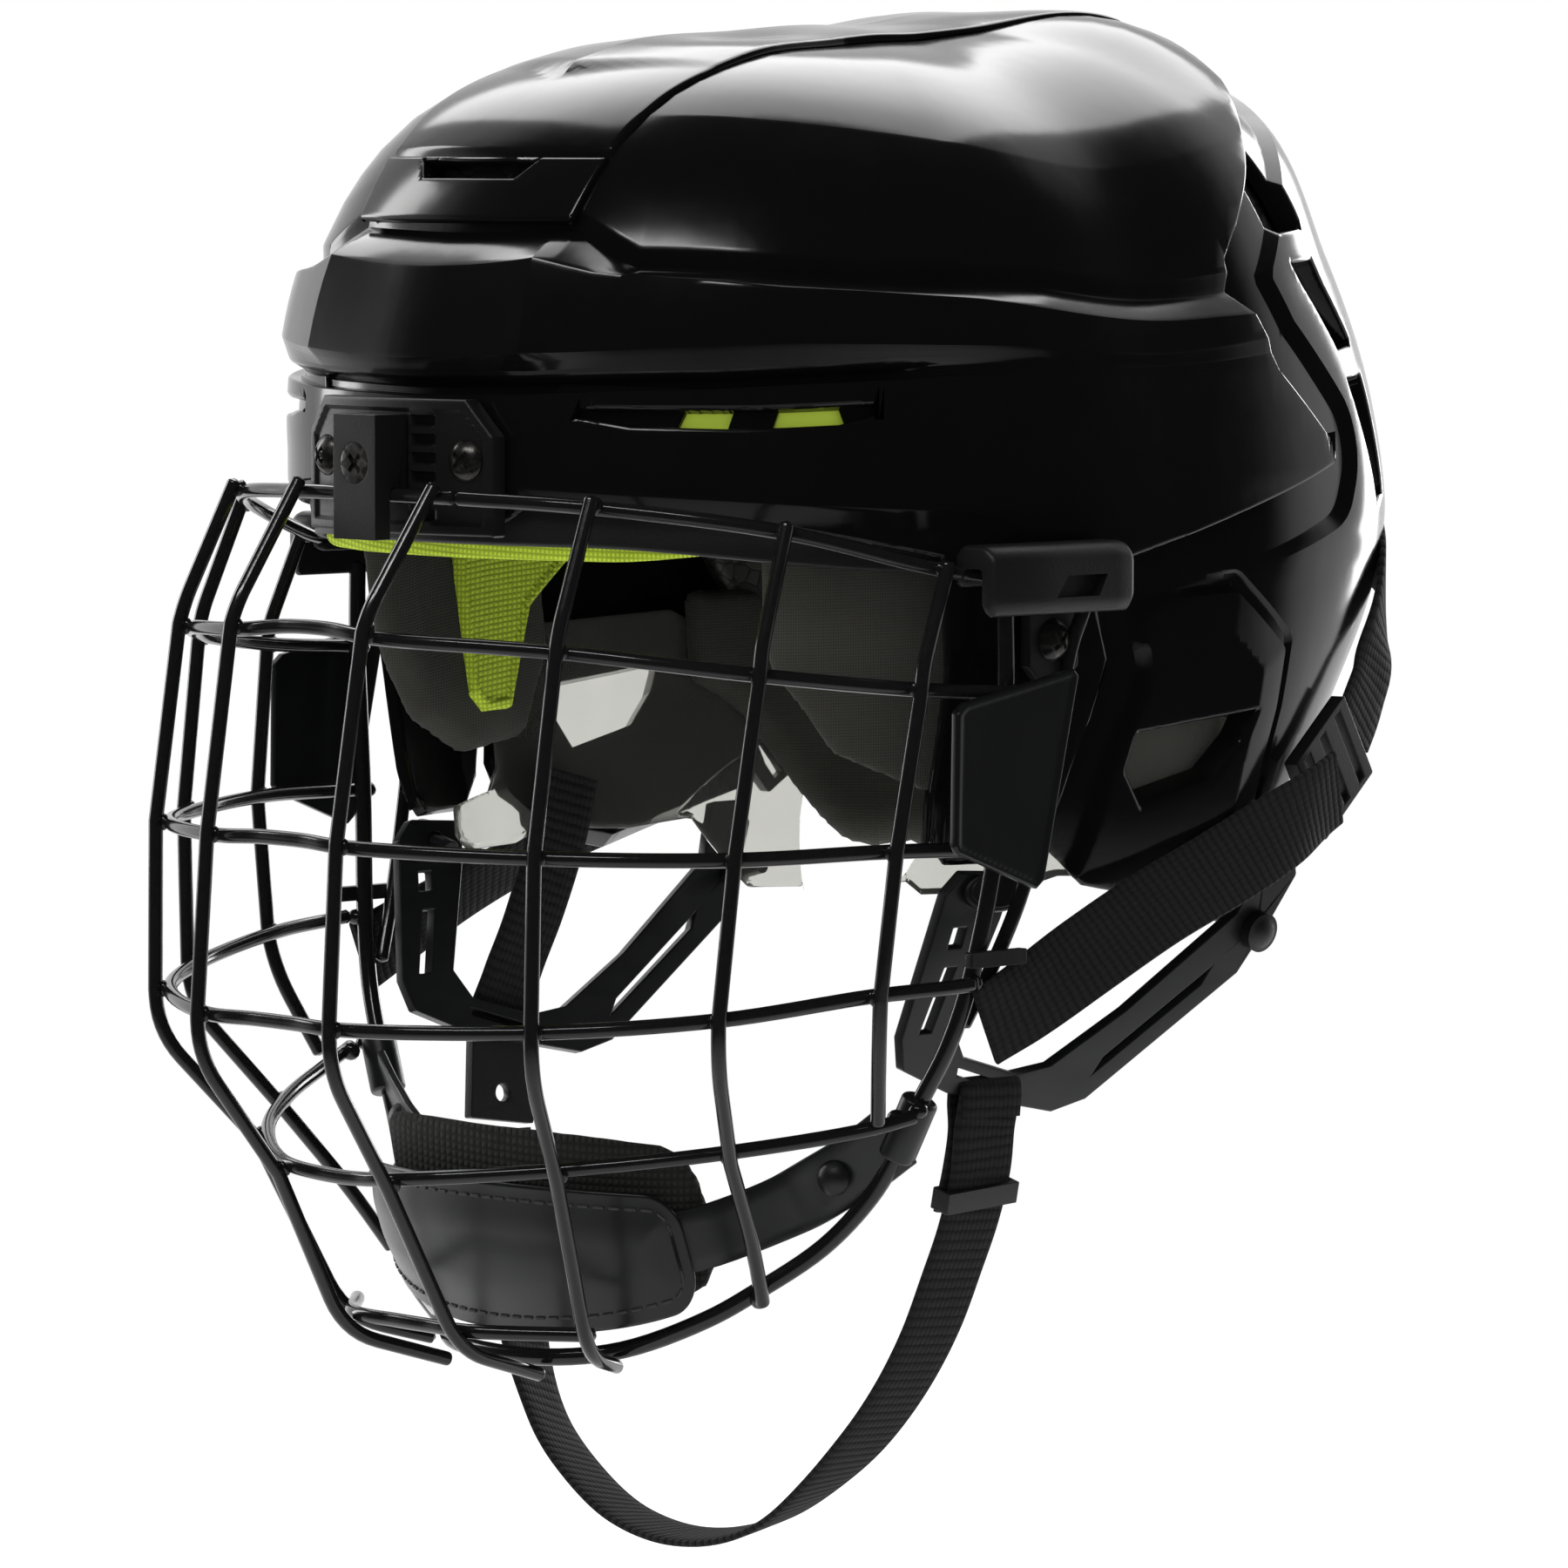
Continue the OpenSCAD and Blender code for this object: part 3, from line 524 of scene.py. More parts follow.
FRONT_SIDE = [(-160, 8), (-112, 8), (-109.5, 14), (-80, 10), (-53, 4), (-50, -20), (-50, -50), (-45, -56),
              (-29, -56), (-24, -50), (-19, -32), (-13, -20), (-18, -7), (-11, 2.5), (10, 8), (50, 19),
              (52, 22), (34, 38), (25, 54), (25, 60), (45, 80), (60, 95), (63, 140), (-160, 140)]
REAR_SIDE = [(46, 140), (45, 95), (30, 80), (8, 62), (8, 50), (18, 36), (-20, 14), (-25, 0), (-25, -10),
             (-20, -22), (-24.5, -46), (-21, -53), (-11, -60), (9, -64), (30, -59), (44, -50), (56, -43),
             (66, -36), (84, -31), (150, -31), (150, 140)]
LENS_VENT = [(-105.4, 32.2), (-105.2, 31.0), (-100, 29.3), (-87, 28.9), (-72, 29.7), (-66.5, 31.2),
             (-62.5, 33.5), (-66, 33.3), (-84, 32.4), (-103, 32.3)]
REAR_VENTS = [[(41, 83), (50, 84), (60, 65), (48, 64)], [(50, 58), (62, 58.5), (75, 42), (64, 41)],
              [(66, 35), (77, 35.5), (85, 12), (78, 10)]]
LOBE_VENT = [(-4, -38), (-2, -31), (29, -28), (26, -34), (19, -41), (1, -45)]
LOBE_RAISED = [(-16, -6.5), (2, -5), (23, -4), (38, -16), (37.5, -28), (35.5, -38), (32, -80), (-40, -80)]
FRONT_FOAM = [(-160, 11), (-108, 16), (-80, 12), (-66, 7), (-42, 7), (-38, 13), (-2, 35), (-7, 50),
              (-7, 62), (15, 80), (29, 95), (30, 140), (-160, 140)]
REAR_FOAM = [(46, 140), (45, 95), (31, 80), (9, 62), (9, 50), (16, 36), (22, 14), (36, 0), (44, -16),
             (50, -27), (150, -27), (150, 140)]
BROW_PAD = [(-160, 9), (-104, 12), (-60, 7), (-46, 8), (-46, 24), (-160, 30)]
TEMPLE_PAD = [(-76, 6.8), (-70, -18), (-58, -34), (-40, -42), (-20, -40), (-12, -24), (-12, 6.8)]
TEMPLE_TAB = [(-43, 5), (-43, -22), (-42.5, -30), (-38, -33.5), (-28.5, -33.5), (-20, -13), (3.5, 5)]
EAR_SIDE = [(-22, -18), (-24, -46), (-28, -51), (-42, -53), (-44, -59), (-40, -62), (-22, -62), (-12, -59.5),
            (12, -61), (28, -59.5), (35, -74), (45, -74), (50, -60), (54, -50), (46, -24), (30, -16)]
VENT_LINER = [(-108, 26), (-60, 26), (-60, 36), (-108, 36)]
CROWN_PLAN = [(0, -120), (30, -106), (31.5, -92), (32.5, -80), (31.5, -64), (28, -42), (24.5, -20),
              (23.5, 4), (24, 30), (25, 70)]
CROWN_PLAN += [(-x, y) for x, y in CROWN_PLAN[:0:-1]]
LIP = ((0, 17, 25, 41, 59, 75, 120), (9, 8.6, 8.3, 7.8, 7.3, 6.5, 6))
GROOVE = ((0, 15.5, 34.6, 56.4, 70, 120), (18, 18.3, 19.3, 21.5, 22.6, 23))
BAND_LOW = ((0, 15.7, 42, 70, 120), (20, 20.3, 22.4, 24, 25))
BAND_TOP = ((0, 15.6, 22, 30, 41.5, 63.2, 101, 120), (28.5, 28.8, 27.9, 27.7, 27.5, 28.1, 27.8, 27))
DOME_FOOT = ((0, 17.7, 26, 50.6, 72.7, 103, 120), (33, 33.2, 29.3, 29.8, 31.2, 31.2, 30.5))
CREASES = (LIP, GROOVE, BAND_LOW, BAND_TOP, DOME_FOOT)
GROOVE_SLIT = (-1.0, -0.7, 0.2, 0.5)
LOBE_FOLD = ((-5.6, -21.8), (0.887, -0.462))
LOBE_STEP = ((-3.4, -2.6, -0.3, 0.9, 8.5), (0, -1.0, -1.0, 1.4, 2.9))
FOLD_FADE = 9.0
SHOULDER_FOOT, SHOULDER_RUN = 11.0, 2.6
REAR_INSET = 3.5
WALL = 3.0
MM_A_DEGREE = 1.9


def on_shell(points, off):
    """Grid points, as azimuths and elevations, at a distance in mm from the head form."""
    return on_form(points[:, 0], points[:, 1], off)


def side_view(points, off=0.0):
    """The y and z in mm of grid points at a distance from the head form."""
    return on_shell(points, off).T[1:]


def broken_line(x, knots, values):
    """Value at x of a broken line whose knots differ from point to point."""
    found = np.zeros_like(x) + values[0]
    for k0, k1, v0, v1 in zip(knots, knots[1:], values, values[1:]):
        t = np.clip((x - k0) / np.maximum(k1 - k0, 1e-6), 0, 1)
        found = np.where(x >= k0, v0 + (v1 - v0) * t, found)
    return found


def front_relief(az, th):
    """How far the front shell's moulded lines stand off the head form."""
    shell = bpy.context.scene.helmet_shell
    a = np.abs(az)
    lip, groove, low, top, foot = (np.interp(a, *line) for line in CREASES)
    flush = ease(a, 50, 76)
    side = 1.6 * flush
    proud = shell.band_height / MM * (1 - 0.27 * ease(a, 50, 80))
    sunk = side - shell.groove_depth / MM * (1 - ease(a, 50, 58))
    rib = side + 0.9 * (1 - flush)
    none = np.zeros_like(a)
    knots = [none - 45, lip - 6, lip - 2, lip, lip + 3, groove - 2.2, *(groove + by for by in GROOVE_SLIT),
             low, top, foot, foot + 1.6, foot + 6, none + 90]
    values = [none, none, side - 0.9 * (1 - flush), side + 0.5 * (1 - flush), side + 0.3, rib, rib, sunk,
              sunk, rib, proud, proud, none - 1.4, none + 0.2, none + 0.3, none]
    soften = 0.1
    relief = sum(broken_line(th + soften * k, knots, values) for k in (-1, -0.5, 0, 0.5, 1)) / 5
    corner = np.maximum(0, 1 - np.abs(a - 15.5) / 11) ** 2 * np.clip(th - low + 1, 0, 1)
    corner = corner * np.clip((foot - th) / (foot - top), 0, 1)
    return relief + shell.brow_corner / MM * corner


def slot_hole(at, half_width=17.0, low=75.6, high=79.0):
    """Above 0 inside the brow vent, whose ends slant."""
    x, y, z = at[:, 0], at[:, 1], at[:, 2]
    wide = half_width - 1.0 * (high - z)
    hole = np.minimum(wide - np.abs(x), np.minimum(z - low, high - z))
    return np.where(y < -60, hole, -50)


def front_limit(points):
    """Above 0 off the front shell and in its vents."""
    at = on_shell(points, 0.0)
    y, z = at[:, 1], at[:, 2]
    return np.maximum.reduce([outline_distance(y, z, FRONT_SIDE), -outline_distance(y, z, LENS_VENT),
                              slot_hole(at)])


def rear_view(points):
    """The rear shell's points in the side view."""
    return side_view(points, -REAR_INSET - tuck(points[:, 0], points[:, 1]))


def rear_limit(points):
    """Above 0 off the rear shell and in its vents."""
    y, z = rear_view(points)
    holes = [-outline_distance(y, z, vent) for vent in REAR_VENTS + [LOBE_VENT]]
    return np.maximum.reduce([outline_distance(y, z, REAR_SIDE)] + holes)


def behind_front(points):
    """Distance in mm behind the front shell's edge."""
    return outline_distance(*rear_view(points), FRONT_SIDE)


def inside_lobe(points):
    """Distance in mm inside the raised panel over the ear."""
    return -outline_distance(*rear_view(points), LOBE_RAISED)


def behind_fold(points):
    """Distance in mm behind the upright fold of the panel over the ear."""
    (y0, z0), (ny, nz) = LOBE_FOLD
    y, z = rear_view(points)
    return (y - y0) * ny + (z - z0) * nz


def rear_relief(points):
    """The rear shell's shoulder, the raised panel over the ear and the ridge down the back."""
    az, th = points[:, 0], points[:, 1]
    behind = behind_front(points)
    rise = np.clip((behind - SHOULDER_FOOT) / SHOULDER_RUN, 0, 1)
    shoulder = rise * ease(rear_view(points)[1], -4, 10) * (1 - 0.6 * ease(behind, 15, 40))
    fold = np.clip(1 + behind_fold(points) / FOLD_FADE, 0, 1)
    lobe = np.interp(inside_lobe(points), *LOBE_STEP) * fold
    side = np.abs((az + 360) % 360 - 180)
    ridge = (1 - ease(side, 14, 17)) * ease(th, 6, 9) * (1 - ease(th, 66, 74))
    clear = ease(behind, 10.5, 14)
    return 2.2 * shoulder + lobe * (0.18 + 0.82 * clear) + 1.3 * ridge * clear


def form_grid(azimuths, row_lines):
    """Grid on the head form: one row for each line, which gives an elevation for each azimuth."""
    az = np.asarray(azimuths, float)
    rows = np.stack([line(np.abs(az)) for line in row_lines])
    points = np.stack([np.broadcast_to(az, rows.shape), rows], -1).reshape(-1, 2)
    return points, grid_faces(len(row_lines), len(az))


def constant(value):
    """The same value at every point of a grid."""
    return lambda points: np.full(len(points), float(value))


def levels(values):
    """Grid rows at fixed elevations."""
    return [constant(value) for value in values]


def creased(points, faces, *lines):
    """Splits the grid along lines: each is a function of the points and its value on the line."""
    for line, value in lines:
        points, faces = split_triangles(points, faces, line(points) - value)
    return points, faces


def tab_hem(points):
    """A hem that stands up round the temple tab, with a seam inside it."""
    deep = -outline_distance(*side_view(points, -20.3), TEMPLE_TAB)
    return -np.interp(deep, (0, 1.8, 2.2, 2.5, 2.8), (0.5, 0.5, -0.3, -0.3, 0.1))


def crease_rows():
    """Rows that follow the creases closely and fill the space between them."""
    lines = levels((-45, -38, -31, -24, -17, -10, -4, 0))
    shifts = ((LIP, 0), *((GROOVE, by) for by in GROOVE_SLIT), (BAND_LOW, 0), (BAND_TOP, 0), (DOME_FOOT, 0),
              (DOME_FOOT, 1.6))
    bands = [(lambda a, k=k, by=by: np.interp(a, *k) + by) for k, by in shifts]
    bands = [constant(2.5), *bands, constant(46)]
    steps = (0.0, 0.16, 0.5)
    for low, high in zip(bands, bands[1:]):
        for k in steps:
            lines.append(lambda a, low=low, high=high, k=k: low(a) + np.minimum(k, (high(a) - low(a)) / 3))
        for t in (0.3, 0.5, 0.7):
            lines.append(lambda a, low=low, high=high, t=t: low(a) + t * (high(a) - low(a)))
        for k in steps[:0:-1]:
            lines.append(lambda a, low=low, high=high, k=k: high(a) - np.minimum(k, (high(a) - low(a)) / 3))
    return lines + levels((*range(46, 86, 3), 87.5, 89.7))


EDGE_STEPS = (-1, -0.72, -0.45, -0.22, -0.06, 0.0)


def sheet_solid(points, faces, place, outer, inner, limit, edge, round_inner=0.4):
    """A closed sheet between two distances from the form, cut where limit is above 0, with rounded edges.

    place gives the point at a distance, and outer, inner and limit are functions of the grid points.
    """
    for share in EDGE_STEPS:
        points, faces = split_triangles(points, faces, limit(points) - share * edge)
    faces = faces[limit(points[faces].mean(1)) < 0]
    used, faces = np.unique(faces, return_inverse=True)
    points, faces = points[used], faces.reshape(-1, 3)
    depth = np.clip(-limit(points), 0, edge)
    drop = edge - np.sqrt(np.maximum(edge ** 2 - (edge - depth) ** 2, 0))
    top = place(points, outer(points) - drop)
    low = place(points, inner(points) + round_inner * drop)
    n = len(points)
    rim = open_edges(faces)
    walls = np.concatenate([np.stack([rim[:, 1], rim[:, 0], rim[:, 0] + n], -1),
                            np.stack([rim[:, 1], rim[:, 0] + n, rim[:, 1] + n], -1)])
    return np.concatenate([top, low]), np.concatenate([faces, faces[:, ::-1] + n, walls])


def over_plan(points, off):
    """The point above x, y of the plan, at a distance from the head form."""
    x, y = points[:, 0], points[:, 1]
    az = np.degrees(np.arctan2(x, -y))
    rho = np.hypot(x, y)
    low, high = np.full_like(x, 12.0), np.full_like(x, 90.0)
    for _ in range(36):
        th = (low + high) / 2
        outside = (head_reach(az, th) + off) * np.cos(np.radians(th)) > rho
        low, high = np.where(outside, th, low), np.where(outside, high, th)
    return on_form(az, (low + high) / 2, off)


def on_side(az, side):
    """Azimuths as they are for the left side, and mirrored for the right one."""
    return az if side > 0 else -az[::-1]


def form_piece(node, ending, look, outline, outer, inner, edge, azimuths, rows, slot=None, tucked=0.0,
               relief=constant(0)):
    """A pad, liner or guard: a sheet on the head form inside a side view outline.

    relief is added to its inner face, and tucked is its share of the rear shell's tuck.
    """
    def drawn_in(points):
        return tucked * tuck(points[:, 0], points[:, 1])

    def limit(points):
        return outline_distance(*side_view(points, (outer + inner) / 2 - drawn_in(points)), outline)

    points, faces = form_grid(azimuths, levels(rows))
    verts, faces = sheet_solid(points, faces, on_shell, lambda p: outer - drawn_in(p),
                               lambda p: inner - drawn_in(p) + relief(p), limit, edge, round_inner=1.0)
    return stand_in(node, verts, faces, crease=40, look=finish(look), name=node + ending, slot=slot)


# Rods and webbing

def unit(v):
    return v / np.linalg.norm(v)


def through(path, n):
    """A smooth curve through every point of the path, evenly tight where the points lie unevenly."""
    path = np.asarray(path, float)
    p = np.concatenate([[2 * path[0] - path[1]], path, [2 * path[-1] - path[-2]]])
    knot = np.concatenate([[0], np.cumsum(np.linalg.norm(np.diff(p, axis=0), axis=1) ** 0.5)])
    curve = []
    for i in range(len(path) - 1):
        a, b, c, d = p[i:i + 4]
        ka, kb, kc, kd = knot[i:i + 4]
        for k in np.linspace(kb, kc, n, endpoint=False):
            ab, bc, cd = ((q * (v - k) + r * (k - u)) / (v - u)
                          for q, r, u, v in ((a, b, ka, kb), (b, c, kb, kc), (c, d, kc, kd)))
            abc = (ab * (kc - k) + bc * (k - ka)) / (kc - ka)
            bcd = (bc * (kd - k) + cd * (k - kb)) / (kd - kb)
            curve.append((abc * (kc - k) + bcd * (k - kb)) / (kc - kb))
    return np.array(curve + [path[-1]])


def rounded(path, radii, n=7):
    """The path with its corners rounded over the lengths in radii."""
    out = [path[0]]
    for before, corner, after, r in zip(path, path[1:], path[2:], radii[1:]):
        if r == 0:
            out.append(corner)
            continue
        a, c = corner + unit(before - corner) * r, corner + unit(after - corner) * r
        out += [(1 - t) ** 2 * a + 2 * t * (1 - t) * corner + t * t * c for t in np.linspace(0, 1, n + 1)]
    return np.array(out + [path[-1]])


def headings(path):
    """The direction of the path at each of its points."""
    step = np.diff(path, axis=0)
    step /= np.linalg.norm(step, axis=1)[:, None]
    t = np.concatenate([step[:1], step[:-1] + step[1:], step[-1:]])
    return t / np.linalg.norm(t, axis=1)[:, None]


def sweep(path, rings, across):
    """Points and faces of a closed body along the path.

    rings holds an outline for all places or for each, and its first axis lies along across.
    """
    t = headings(path)
    b = np.cross(t, across)
    b /= np.linalg.norm(b, axis=1)[:, None]
    a = np.cross(b, t)
    rings = np.broadcast_to(rings, (len(path),) + rings.shape[-2:])
    verts = path[:, None] + rings[..., :1] * a[:, None] + rings[..., 1:] * b[:, None]
    n, s = rings.shape[:2]
    faces = [tuple(f) for f in grid_faces(n, s, wrap=True)]
    faces += [tuple(range(s))[::-1], tuple(range((n - 1) * s, n * s))]
    return verts.reshape(-1, 3), faces


def rod(path, r, sides=14):
    """A round rod with rounded ends."""
    path = np.asarray(path, float)
    t = headings(path)
    caps = np.array([0.0, 0.5, 0.8, 1.0])
    start = path[0] + t[0] * (r * 0.7 * caps)[:, None]
    stop = path[-1] - t[-1] * (r * 0.7 * caps[::-1])[:, None]
    round_off = np.sqrt(1 - (1 - caps) ** 2) * 0.75 + 0.25
    path = np.concatenate([start, path[1:-1], stop])
    scale = np.concatenate([round_off, np.ones(len(path) - 2 * len(caps)), round_off[::-1]])
    angle = 2 * np.pi * (np.arange(sides) + 0.5) / sides
    ring = r * np.stack([np.cos(angle), np.sin(angle)], -1)
    t = headings(path)
    across = np.zeros_like(path)
    side = np.cross(t[0], (0, 0, 1.0) if abs(t[0][2]) < 0.8 else (1.0, 0, 0))
    for i, way in enumerate(t):
        side = side - way * (side @ way)
        side /= np.linalg.norm(side)
        across[i] = side
    return sweep(path, ring[None] * scale[:, None, None], across)


def joined(parts):
    """Several points and faces pairs as one."""
    verts, faces, n = [], [], 0
    for v, f in parts:
        verts.append(np.asarray(v))
        faces += [tuple(int(i) + n for i in face) for face in f]
        n += len(v)
    return np.concatenate(verts), faces


def webbing(path, width, thick, across):
    """Flat webbing with soft edges. Gives points, faces and a flat map of u along it and v across it."""
    half, deep, soft = width / 2, thick / 2, thick * 0.42
    v = np.array([-half + soft, -half / 2, 0, half / 2, half - soft])
    top = [(x, deep * (1 - 0.06 * abs(x / half))) for x in v]
    ring = np.array(top + [(half - soft * 0.25, deep * 0.6), (half, 0), (half - soft * 0.25, -deep * 0.6)]
                    + [(x, -y) for x, y in top[::-1]]
                    + [(-half + soft * 0.25, -deep * 0.6), (-half, 0), (-half + soft * 0.25, deep * 0.6)])
    verts, faces = sweep(path, ring[None], np.asarray(across, float))
    along = np.concatenate([[0], np.cumsum(np.linalg.norm(np.diff(path, axis=0), axis=1))])
    uv = np.stack([np.repeat(along, len(ring)), np.tile(ring[:, 0], len(path))], -1)
    return verts, faces, uv


def mirrored(points):
    return np.asarray(points) * (-1, 1, 1)


def with_mirror(verts, faces):
    """A shape and its mirror image as one."""
    return joined([(verts, faces), (mirrored(verts), faces)])


def both_sides(half):
    """A path from its mirror image's end through the middle."""
    half = np.asarray(half, float)
    return np.concatenate([mirrored(half[::-1]), half])


# The cage and the straps, as centre points in mm

WIRES = [
    [(20, -123.3, 18.2), (20, -123.9, 17.3), (19.6, -139.6, -5.5), (19.6, -141.1, -9.5),
     (19.3, -147.5, -49.5), (19.7, -149.8, -84.2), (19.7, -149.6, -92.5), (16.4, -132.6, -116.2),
     (17.2, -115.4, -149), (13.6, -91.2, -156.5)],
    [(52.8, -112.6, 16.6), (53, -113.1, 15.4), (55.8, -123.4, -7.5), (56.1, -124.5, -11.7),
     (56.4, -130.4, -50.3), (56.1, -131, -83.4), (55.8, -130.6, -92), (44.6, -114.6, -113.6),
     (36.2, -99.2, -149.6), (27.2, -83.5, -154.3)],
    [(80.2, -88, 12), (80.5, -88.5, 10.6), (83, -97.2, -12), (83.2, -97.7, -16.3), (81.8, -102.9, -50.9),
     (79, -104.4, -81.5), (78.4, -104, -90), (67.2, -90.5, -110.3), (60, -78, -128), (55, -70.8, -140.6)],
    [(95, -60.4, 4.2), (95.2, -60.6, 2.8), (96.6, -68.4, -16), (96.7, -68.8, -19.7), (94.6, -73.3, -50.5),
     (90.8, -73.8, -78.4), (89.6, -73, -86), (82.6, -66.6, -103.6)]]
BENDS = (0, 0, 3.6, 0, 0, 0, 7, 0, 8, 0)
OUTWARD = ((0.02, -1, 0), (0.36, -0.93, 0), (0.78, -0.62, 0), (0.96, -0.28, 0))
FRAME_HALF = [(13.4, -89.6, -153.2), (26.6, -81.9, -151.2), (44, -75.4, -144), (52, -70, -138.4),
              (62, -61.4, -129.4), (70, -56.6, -119.5), (75.4, -54.6, -110.6), (80, -53.4, -101),
              (85.5, -51.2, -90), (89.4, -49, -77), (93.5, -46, -51), (95.6, -45.6, -21.4),
              (95.4, -45.6, -3.2)]
HINGE = (0, -121.5, 15.5)
REAR_WIRE = [(98.6, -26.5, -3.2), (97.8, -27.2, -7), (96, -28.6, -14), (94.4, -31.6, -35), (92, -37, -59),
             (89, -42.3, -74), (86, -47.6, -86)]
CAGE_STRAP = [(92.4, -47.6, -85.4), (92.8, -38, -81.4), (92.2, -20, -73.6), (91, 0, -65.8),
              (90, 22, -58.4), (88.8, 42, -51), (85.5, 57.2, -45.6)]
CHIN_STRAP = [(72.7, -27, -101.6), (72.2, -28, -108), (71, -28, -117), (68.4, -28.6, -127),
              (64.6, -29.4, -137), (59.6, -30.4, -149), (53, -31.6, -160.4), (44.6, -32.8, -171),
              (33.6, -34, -181.4), (20.6, -34.8, -190.4), (6, -35.4, -195.6), (-9, -35.8, -197),
              (-24, -35.8, -194.4), (-37.6, -35, -188), (-49, -33.6, -179.6), (-57.4, -32, -168.4),
              (-63.2, -30.4, -154.6), (-67, -29.4, -141), (-69.1, -29, -130.6), (-70.1, -28.8, -121)]
RISER = [(-73.1, -26.2, -101.3), (-74, -25.6, -97.2), (-73.2, -22.8, -89), (-71.4, -18.4, -77),
         (-70.2, -13.4, -62), (-70.4, -9.6, -48)]
STRAP_FOLD = [(72.8, -27.2, -106), (72.95, -27, -101.4), (72.4, -26.9, -99.4), (70.9, -26.9, -98.7),
              (69.5, -26.9, -99.8), (69.2, -27, -102.6), (70.0, -27.6, -108.4), (69.3, -28.4, -116),
              (67.2, -28.9, -124.6)]
REAR_STRAP_ENDS = [(73.5, 82.5, -14), (76, 76.5, -26.5), (78.2, 69.8, -34.9)]
CUP_BAND_ENDS = [(53.5, -63, -122), (62, -60, -117), (69, -57.8, -112.6), (75.8, -55.7, -107.4)]
SLOTS = {row["node"]: row["material_slot"] for row in frame["record"]["subparts"]}
SLOT_FINISH = {"green_cloth": "knit", "cup_cloth": "mesh"}


def usual_finish(node):
    """The finish of the node's material slot."""
    return finish(SLOT_FINISH.get(SLOTS[node], SLOTS[node]))


def stand_in(node, verts, faces, crease=35, uv=None, look=None, name=None, slot=None):
    """A finer piece in place of a CAD node, on the node's body and usually with its slot's finish."""
    piece = make_object(name or node + "_fine", verts, faces, look or usual_finish(node),
                        NODES[node]["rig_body"], slot or SLOTS[node], crease, uv)
    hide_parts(node)
    return piece


def keep_node(node, edge, look=None, crease=32):
    """A CAD node with its edges broken and its finish on."""
    piece = NODES[node]
    piece.data.materials.clear()
    piece.data.materials.append(look or usual_finish(node))
    weld = piece.modifiers.new("join", "WELD")
    weld.merge_threshold = 0.00001
    bevel = piece.modifiers.new("broken_edges", "BEVEL")
    bevel.width, bevel.segments, bevel.limit_method = edge * MM, 2, "ANGLE"
    bevel.angle_limit = math.radians(crease)
    bevel.harden_normals = False
    piece.data.polygons.foreach_set("use_smooth", [True] * len(piece.data.polygons))
    normals = piece.modifiers.new("even_normals", "WEIGHTED_NORMAL")
    normals.keep_sharp = False
    normals.weight = 80


def bar_at(i, k, diameter, gap=0.06):
    """Where a bar passes inside vertical i at level k."""
    w = np.array(WIRES[i])
    t = unit(w[2] - w[1] if k == 1 else w[k] - w[k - 1])
    o = np.array(OUTWARD[i])
    return w[k] - (diameter + gap) * unit(o - (o @ t) * t)


def corner_at(i, diameter):
    """Where the lowest bar lies in the bend of vertical i."""
    w = np.array(WIRES[i])
    m = unit(w[7] - w[8]) + unit(w[9] - w[8])
    return w[8] + 2 * m + (diameter + 0.1) * unit(np.array([0, m[1], m[2]]))


def bar_halves(diameter):
    """Half of each cross bar, from near the middle to its end on the frame wire."""
    def at(k, last=4):
        return [bar_at(i, k, diameter) for i in range(last)]
    corner = corner_at(0, diameter)
    return {
        "bar_2": [(6, -138.3, -9.4), *at(3), (98.8, -48, -21.2), (98.9, -41, -21.6)],
        "bar_3": [(6, -144.8, -49.4), *at(4), (96.4, -48, -51), (96.9, -41, -51)],
        "bar_4": [(6, -147.1, -84.2), *at(5), (92.4, -56, -77.2), (93, -50.6, -76.8)],
        "bar_5": [(5, -130.6, -115.4), *at(7, 3), (79.8, -66, -104.6), (83.8, -57.4, -102.4)],
        "bar_6": [(5, corner[1] - 0.6, corner[2]), corner, corner_at(1, diameter)]}


def bead(middle, reach, ways, rings=7, sides=12):
    """A small rounded lump with three half widths along three directions."""
    up = np.linspace(-90, 90, rings)[1:-1]
    ring = 2 * np.pi * np.arange(sides) / sides
    ball = [(0, 0, -1.0)]
    ball += [(math.cos(math.radians(t)) * math.cos(a), math.cos(math.radians(t)) * math.sin(a),
              math.sin(math.radians(t))) for t in up for a in ring]
    ball += [(0, 0, 1.0)]
    verts = np.asarray(middle) + (np.array(ball) * reach) @ np.array(ways, float)
    faces = [(0, 1 + (k + 1) % sides, 1 + k) for k in range(sides)]
    faces += [tuple(int(i) + 1 for i in f) for f in grid_faces(len(up), sides, wrap=True)]
    base, tip = 1 + (len(up) - 1) * sides, len(ball) - 1
    faces += [(base + k, base + (k + 1) % sides, tip) for k in range(sides)]
    return verts, faces


def cross_weld(a, b, way_a, r):
    """The fused metal where two wires touch at points a and b."""
    across = unit(b - a)
    ways = (unit(way_a), unit(np.cross(across, way_a)), across)
    return bead((a + b) / 2, (r * 1.25, r * 1.25, r * 0.75), ways)


def lathe(profile, sides=40):
    """A turned solid about the z axis from a profile of radius and height."""
    profile = np.array(profile, float)
    angle = 2 * np.pi * np.arange(sides) / sides
    verts = np.stack([np.outer(profile[:, 0], np.cos(angle)), np.outer(profile[:, 0], np.sin(angle)),
                      np.repeat(profile[:, 1:], sides, 1)], -1).reshape(-1, 3)
    faces = [tuple(f) for f in grid_faces(len(profile), sides, wrap=True)]
    n = len(profile)
    faces += [tuple(range(sides))[::-1], tuple(range((n - 1) * sides, n * sides))]
    return verts, faces


def turned(verts, middle, z_way, x_way=(0, 0, 1)):
    """Points moved so that z follows z_way and the origin is at middle."""
    z = unit(np.asarray(z_way, float))
    x = np.asarray(x_way, float)
    x = unit(x - z * (x @ z))
    return np.asarray(middle) + verts @ np.stack([x, np.cross(z, x), z])


